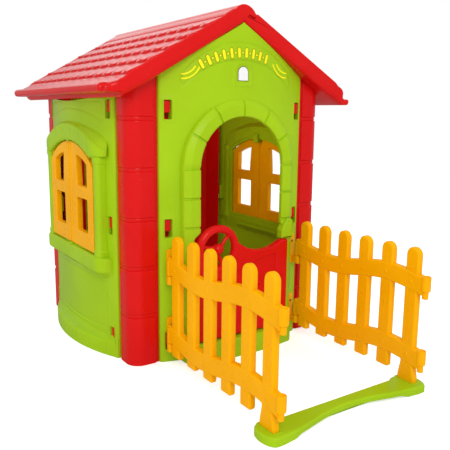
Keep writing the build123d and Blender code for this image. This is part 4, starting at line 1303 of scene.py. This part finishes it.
def rail(mapping, middle):
    """A wavy rail with rounded long edges."""
    # A quarter of its section, as (z, d) from the middle.
    quarter = [(33, 9), (32.2, 12), (30, 14.2), (27, 15)]
    section = np.array([(-z, -d) for z, d in quarter] + [(z, -d) for z, d in quarter[::-1]]
                       + quarter + [(-z, d) for z, d in quarter[::-1]])
    return loft([mapping(s, section[:, 1], rail_wave(s, middle) + section[:, 0])
                 for s in np.linspace(48, 723, 91)])


def turned(mapping, s, profile, count=28):
    """A round piece on an upright axis at distance s; profile is (radius, z) pairs."""
    rings = []
    for radius, z in profile:
        t = full_turn(count)
        rings.append(mapping(s + radius * np.cos(t), radius * np.sin(t), z))
    return loft(rings)


def fence_links(mapping):
    """The pegs at the house end of the rails, and the eyes and pegs at the yard end."""
    build = Build()
    for low, middle in zip(BRACKET_LOWS, RAILS):
        barrel = low + 38
        top = float(rail_wave(47, middle)) + 20
        build.add(*turned(mapping, 47, [(11, low + 10.5), (11, barrel + 1)]))
        build.add(*turned(mapping, 47, [(15.5, barrel), (17, barrel + 1.5), (17, top - 2), (15, top)]))
        eye = float(rail_wave(723, middle)) - 16
        head = eye + 53
        build.add(*turned(mapping, 723, [
            (0.6, head - 4), (9.6, head - 4), (11, head - 1.2), (12.2, head), (15.6, head),
            (17, head - 1.6), (17, eye + 1.6), (15.4, eye), (11, eye - 0.1), (10.95, eye - 26),
            (9.5, eye - 28), (0.6, eye - 28)]))
    return build


def rivet(mapping, s, z, depth, face, radius, height):
    """A small round head on a board's face."""
    t = full_turn(12)
    return loft([mapping(s + r * np.cos(t), face * (depth + h), z + r * np.sin(t))
                 for r, h in ((radius, -0.4), (radius * 0.92, height * 0.45), (radius * 0.6, height * 0.9),
                              (0.3, height))])


def build_fence(side, name):
    mapping = fence_map(side)
    boards = Build(*(double_plate(mapping, picket_outline(middle, middle == PICKETS[-1]), 4.5, 13.5)
                     for middle in PICKETS))
    rails = Build(*(rail(mapping, middle) for middle in RAILS), fence_links(mapping))
    rivets = Build()
    for face in (-1, 1):
        for middle in PICKETS:
            for level in RAILS:
                rivets.add(*rivet(mapping, middle, float(rail_wave(middle, level)), 15.0, face, 6.0, 2.4))
            for z in (188, 232, 300, 452):
                rivets.add(*rivet(mapping, middle, z, 13.5, face, 3.4, 2.3))
    body = f"{name}_fence_panel"
    object_from(f"Fence_{name}_pickets", boards, YELLOW, body=body, stands_for=[f"{name}_fence"])
    object_from(f"Fence_{name}_rails", rails, YELLOW, body=body)
    object_from(f"Fence_{name}_rivets", rivets, YELLOW, body=body)


# ---------------------------------------------------- brackets, screws, sill
BRACKET_U = 301.0


def build_bracket(side, low, title, node):
    """A bracket: a plate on the front wall, a barrel for the fence's peg and the arm between them."""
    def bent(u, d, z):
        return place("front", side * u, front_bow(u) + d, z)

    outline = rounded(rectangle(BRACKET_U - 17, BRACKET_U + 17, low, low + 132), [12, 3, 12, 12])
    t = full_turn(32)
    barrel = [place("front", side * (FENCE_X + radius * np.cos(t)), 47 + radius * np.sin(t), low + z)
              for radius, z in ((11.05, 2.2), (15.6, 2), (17, 3.6), (17, 34.4), (15.6, 36), (11.05, 35.8),
                                (11.05, 2.2))]
    arm = rounded([(300, 14), (318, 14), (318, 34), (302, 42), (300, 36)], 2)
    build = Build(plate(bent, dense(outline, 6), [], 0.05, 8.0, edge=2.6, back_edge=0.4),
                  loft(barrel, caps=False),
                  loft([place("front", side * arm[:, 0], arm[:, 1], low + z) for z in (2.5, 4, 34, 35.5)]))
    object_from(title, welded(build), YELLOW, stands_for=[node])


def build_brackets():
    for side, name in ((-1, "left"), (1, "right")):
        for low, level in zip(BRACKET_LOWS, ("lower", "upper")):
            build_bracket(side, low, f"Bracket_{name}_{level}", f"{name}_bracket_{level}")


SCREW_HEAD = ((6.0, -1.0), (6.0, 0.7), (5.2, 1.8), (3.4, 2.4), (1.7, 2.5), (1.5, 1.4), (0.3, 1.3))


def build_screws():
    build = Build()
    base = float(front_bow(BRACKET_U)) + 8
    t = full_turn(24)
    for side in (-1, 1):
        for low in BRACKET_LOWS:
            rings = []
            for radius, out in SCREW_HEAD:
                # The wall turns back sideways, and the screw's head leans with it.
                lean = 0.29 * side * radius * np.cos(t)
                rings.append(place("front", side * BRACKET_U + radius * np.cos(t), base + out - lean,
                                   low + 99 + radius * np.sin(t)))
            build.add(*loft(rings))
    object_from("Bracket_screws", build, STEEL, stands_for=["bracket_screws"])


SILL_HEIGHT = 29
SOCKET = (317, 669)                        # middle of the socket for a fence's last picket


def sill_outline():
    """Plan of the ground sill, as (x, distance ahead of the house)."""
    right_end = [(262, 635), (270, 630), (277, 625), (286, 623), (326, 623)]
    right_end += [(330 + 30 * math.sin(a), 678.5 - 55.5 * math.cos(a))
                  for a in np.linspace(0.2, math.pi - 0.2, 15)]
    right_end += [(322, 734), (300, 733.5), (280, 730)]
    front = [(x, 683 + 46 * float(smooth(0.0, 1.12, (x / 270)**1.12)) / float(smooth(0.0, 1.12, 1.0)))
             for x in np.linspace(268, 0, 29)]
    half = right_end + front
    left = [(-x, s) for x, s in half[:-1][::-1]]
    back = [(x, 635) for x in np.linspace(-250, 250, 21)]
    return np.array(half + left + back)


def build_ground_sill():
    def lifted(x, height, ahead):
        """The underside stands clear of the ground between the ends."""
        lift = 9 * smooth(262, 226, np.abs(x)) * (np.asarray(height, float) < 3)
        return ahead_of_house()(x, height + lift, ahead)

    build = plate(lifted, dense(sill_outline(), 14), [], 0, SILL_HEIGHT, edge=8, back_edge=1.2, steps=5)
    object_from("Ground_sill", build, GREEN, stands_for=["ground_sill"])

    def socket_loop(half_x, half_s, radius):
        x, s = SOCKET
        return rounded(rectangle(x - half_x, x + half_x, s - half_s, s + half_s), radius)

    rims = Build(*(plate(ahead_of_house(side), socket_loop(20, 44, 6), [socket_loop(14.2, 37.7, 2)],
                         SILL_HEIGHT - 6, SILL_HEIGHT + 1.6, edge=1.6, back_edge=0.3, steps=3)
                   for side in (-1, 1)))
    object_from("Ground_sill_rims", rims, GREEN)


# -------------------------------------------------------------- sign pieces
def left_normals(line):
    """Unit normals to the left of an open line of points."""
    ahead = np.gradient(np.asarray(line, float), axis=0)
    ahead /= np.linalg.norm(ahead, axis=1)[:, None]
    return np.column_stack([-ahead[:, 1], ahead[:, 0]])


def strip_outline(points, width):
    """A band of constant width with round ends, along a line of points."""
    line = np.asarray(points, float)
    normal = left_normals(line)
    half = width / 2
    end = math.degrees(math.atan2(*(-normal[-1])[::-1]))
    start = math.degrees(math.atan2(*(normal[0])[::-1]))
    return np.concatenate([line - normal * half, arc(line[-1], half, end, end + 180, 7)[1:-1],
                           (line + normal * half)[::-1], arc(line[0], half, start, start + 180, 7)[1:-1]])


def banner_plate(loop, lift, thickness, edge, back_edge):
    """A thin flat piece that follows the front wall, lift outside it."""
    def bent(u, d, z):
        return place("front", u, front_bow(u) + lift + d, z)

    return plate(bent, loop, [], 0.0, thickness, edge=edge, back_edge=back_edge, steps=2)


def build_decals():
    """Plain bars, dots and stripes, and a plain plaque, where the object has printing."""
    prints = Build()
    outlines = Build()

    def add_mark(outline, grow):
        """A yellow mark, and under it a dark one that is wider by grow."""
        loop = outline if area(outline) > 0 else outline[::-1]
        prints.add(*banner_plate(loop, 2.9, 0.75, 0.2, 0.05))
        if grow:
            outlines.add(*banner_plate(loop + outward(loop) * grow, 2.7, 0.75, 0.2, 0.05))

    def on_row(degrees, radius=360):
        """A point on the banner's row of marks."""
        a = math.radians(degrees)
        return np.array([0.0, 848.0]) + np.array([math.cos(a), math.sin(a)]) * radius

    first, pitch, bars = 72, 5.4, 10
    for k in range(bars):
        angle = first + pitch * k
        add_mark(strip_outline(np.linspace(on_row(angle, 347), on_row(angle, 373), 5), 13), 1.7)
        if k < bars - 1:
            add_mark(circle(on_row(angle + pitch / 2), 4.5, 16), 1.5)
    stripes = (((150, 1171), (174, 1139), (227, 1123)), ((171, 1172), (194, 1150), (230, 1141)),
               ((-259, 1103), (-217, 1115), (-192, 1145)), ((-259, 1119), (-228, 1128), (-208, 1148)))
    for start, bend, end in stripes:
        add_mark(strip_outline(three_point_arc(start, bend, end, 17), 6), 0)
    object_from("Banner_marks", prints, PRINT_YELLOW, stands_for=["sign_decals"])
    object_from("Banner_mark_outlines", outlines, PRINT_DARK)
    plaque = np.concatenate([[(-25, 1101), (25, 1101)], arc((0, 1133), 25, 0, 180, 17)])
    object_from("Plaque_border", banner_plate(plaque, -2.6, 1.6, 0.5, 0.1), PRINT_DARK)
    face = banner_plate(plaque - outward(plaque) * 2.6, -1.6, 1.2, 0.4, 0.1)
    object_from("Plaque", face, WHITE, stands_for=["sign_plaque"])


build_gables()
build_side_wall("left")
build_side_wall("right")
build_columns()
build_roof()
build_door()
build_leaves()
build_fence(-1, "left")
build_fence(1, "right")
build_brackets()
build_screws()
build_ground_sill()
build_decals()


# --------------------------------------------------------- floor, light, camera
def multiply_add(nodes, links, source, factor, addend, target):
    """Feeds source * factor + addend to target; the addend is a number or a socket."""
    level = nodes.new("ShaderNodeMath")
    level.operation = "MULTIPLY_ADD"
    links.new(source, level.inputs[0])
    level.inputs[1].default_value = factor
    if isinstance(addend, float):
        level.inputs[2].default_value = addend
    else:
        links.new(addend, level.inputs[2])
    if target:
        links.new(level.outputs["Value"], target)
    return level.outputs["Value"]


def staged(name, data):
    """An object of the stage, which is no part of the model."""
    thing = bpy.data.objects.new(name, data)
    bpy.context.scene.collection.objects.link(thing)
    return thing


def build_stage():
    """A pale disc, white to the camera and duller in reflections."""
    radius, thickness, t = 9.0, 0.06, full_turn(96)
    points, faces = loft([np.column_stack([radius * np.cos(t), radius * np.sin(t), np.full(96, z)])
                          for z in (-thickness, -0.0005)])
    mesh = bpy.data.meshes.new("floor")
    mesh.from_pydata(points.tolist(), [], faces)
    material = bpy.data.materials.new("pale_floor")
    material.use_nodes = True
    nodes, links = material.node_tree.nodes, material.node_tree.links
    shader = nodes["Principled BSDF"]
    shader.inputs["Emission Color"].default_value = (1, 1, 1, 1)
    shader.inputs["Roughness"].default_value = 0.55
    path = nodes.new("ShaderNodeLightPath")
    multiply_add(nodes, links, path.outputs["Is Camera Ray"], 0.5, 0.0, shader.inputs["Emission Strength"])
    multiply_add(nodes, links, path.outputs["Is Glossy Ray"], -0.6, 0.95, shader.inputs["Base Color"])
    mesh.materials.append(material)
    staged("floor", mesh)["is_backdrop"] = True


def add_light(name, position, power, target=None, size=None, mirrored=False):
    """A rectangular lamp turned to its target, or a point lamp of that radius. Only
    the mirrored ones are seen in reflections."""
    lamp = bpy.data.lights.new(name, "AREA" if target else "POINT")
    lamp.energy = power
    holder = staged(name, lamp)
    holder.location = position
    holder.visible_camera = False
    holder.visible_glossy = mirrored
    if target:
        lamp.shape = "RECTANGLE"
        lamp.size, lamp.size_y = size
        holder.rotation_euler = (Vector(target) - Vector(position)).to_track_quat("-Z", "Y").to_euler()
    else:
        lamp.shadow_soft_size = size
    holder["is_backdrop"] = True


def build_lights():
    world = bpy.data.worlds.new("studio")
    bpy.context.scene.world = world
    world.use_nodes = True
    nodes, links = world.node_tree.nodes, world.node_tree.links
    background = nodes["Background"]
    background.inputs["Color"].default_value = (1, 1, 1, 1)
    # White to the camera, softer as a light on matt surfaces and softest in reflections.
    path = nodes.new("ShaderNodeLightPath")
    seen = multiply_add(nodes, links, path.outputs["Is Camera Ray"], 0.26, 0.74, None)
    multiply_add(nodes, links, path.outputs["Is Glossy Ray"], -0.30, seen, background.inputs["Strength"])
    middle = (0, 0, 0.6)
    add_light("key", (-1.6, -4.2, 3.2), 74, middle, (2.2, 1.8), mirrored=True)
    add_light("side", (-4.2, -0.6, 2.2), 18, middle, (2.4, 2.4))
    add_light("top", (0.3, -0.4, 4.6), 16, middle, (3.0, 3.0))
    add_light("back", (1.0, 4.6, 3.4), 26, (0, 0.2, 1.1), (4.0, 2.4), mirrored=True)
    add_light("inside", (0.05, 0.25, 0.9), 2.8, size=0.2)


def build_camera():
    data = bpy.data.cameras.new("camera")
    data.sensor_width = 36
    data.lens = 47.84
    data.shift_x = 0.0017
    data.shift_y = -0.0176
    data.clip_end = 100
    camera = staged("camera", data)
    yaw, pitch, roll = 0.5873, 0.1738, 0.0107
    ahead = Vector((math.sin(yaw) * math.cos(pitch), math.cos(yaw) * math.cos(pitch), -math.sin(pitch)))
    right = Vector((math.cos(yaw), -math.sin(yaw), 0))
    up = right.cross(ahead)
    x_axis = right * math.cos(roll) + up * math.sin(roll)
    y_axis = up * math.cos(roll) - right * math.sin(roll)
    matrix = Matrix((x_axis, y_axis, -ahead)).transposed().to_4x4()
    matrix.translation = Vector((-1.3777, -2.1756, 0.9820))
    camera.matrix_world = matrix
    bpy.context.scene.camera = camera


build_stage()
build_lights()
build_camera()
bpy.context.scene.view_settings.view_transform = "Standard"

look_low, look_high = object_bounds()
list(cad_low)
list(cad_high)
list(look_low)
list(look_high)
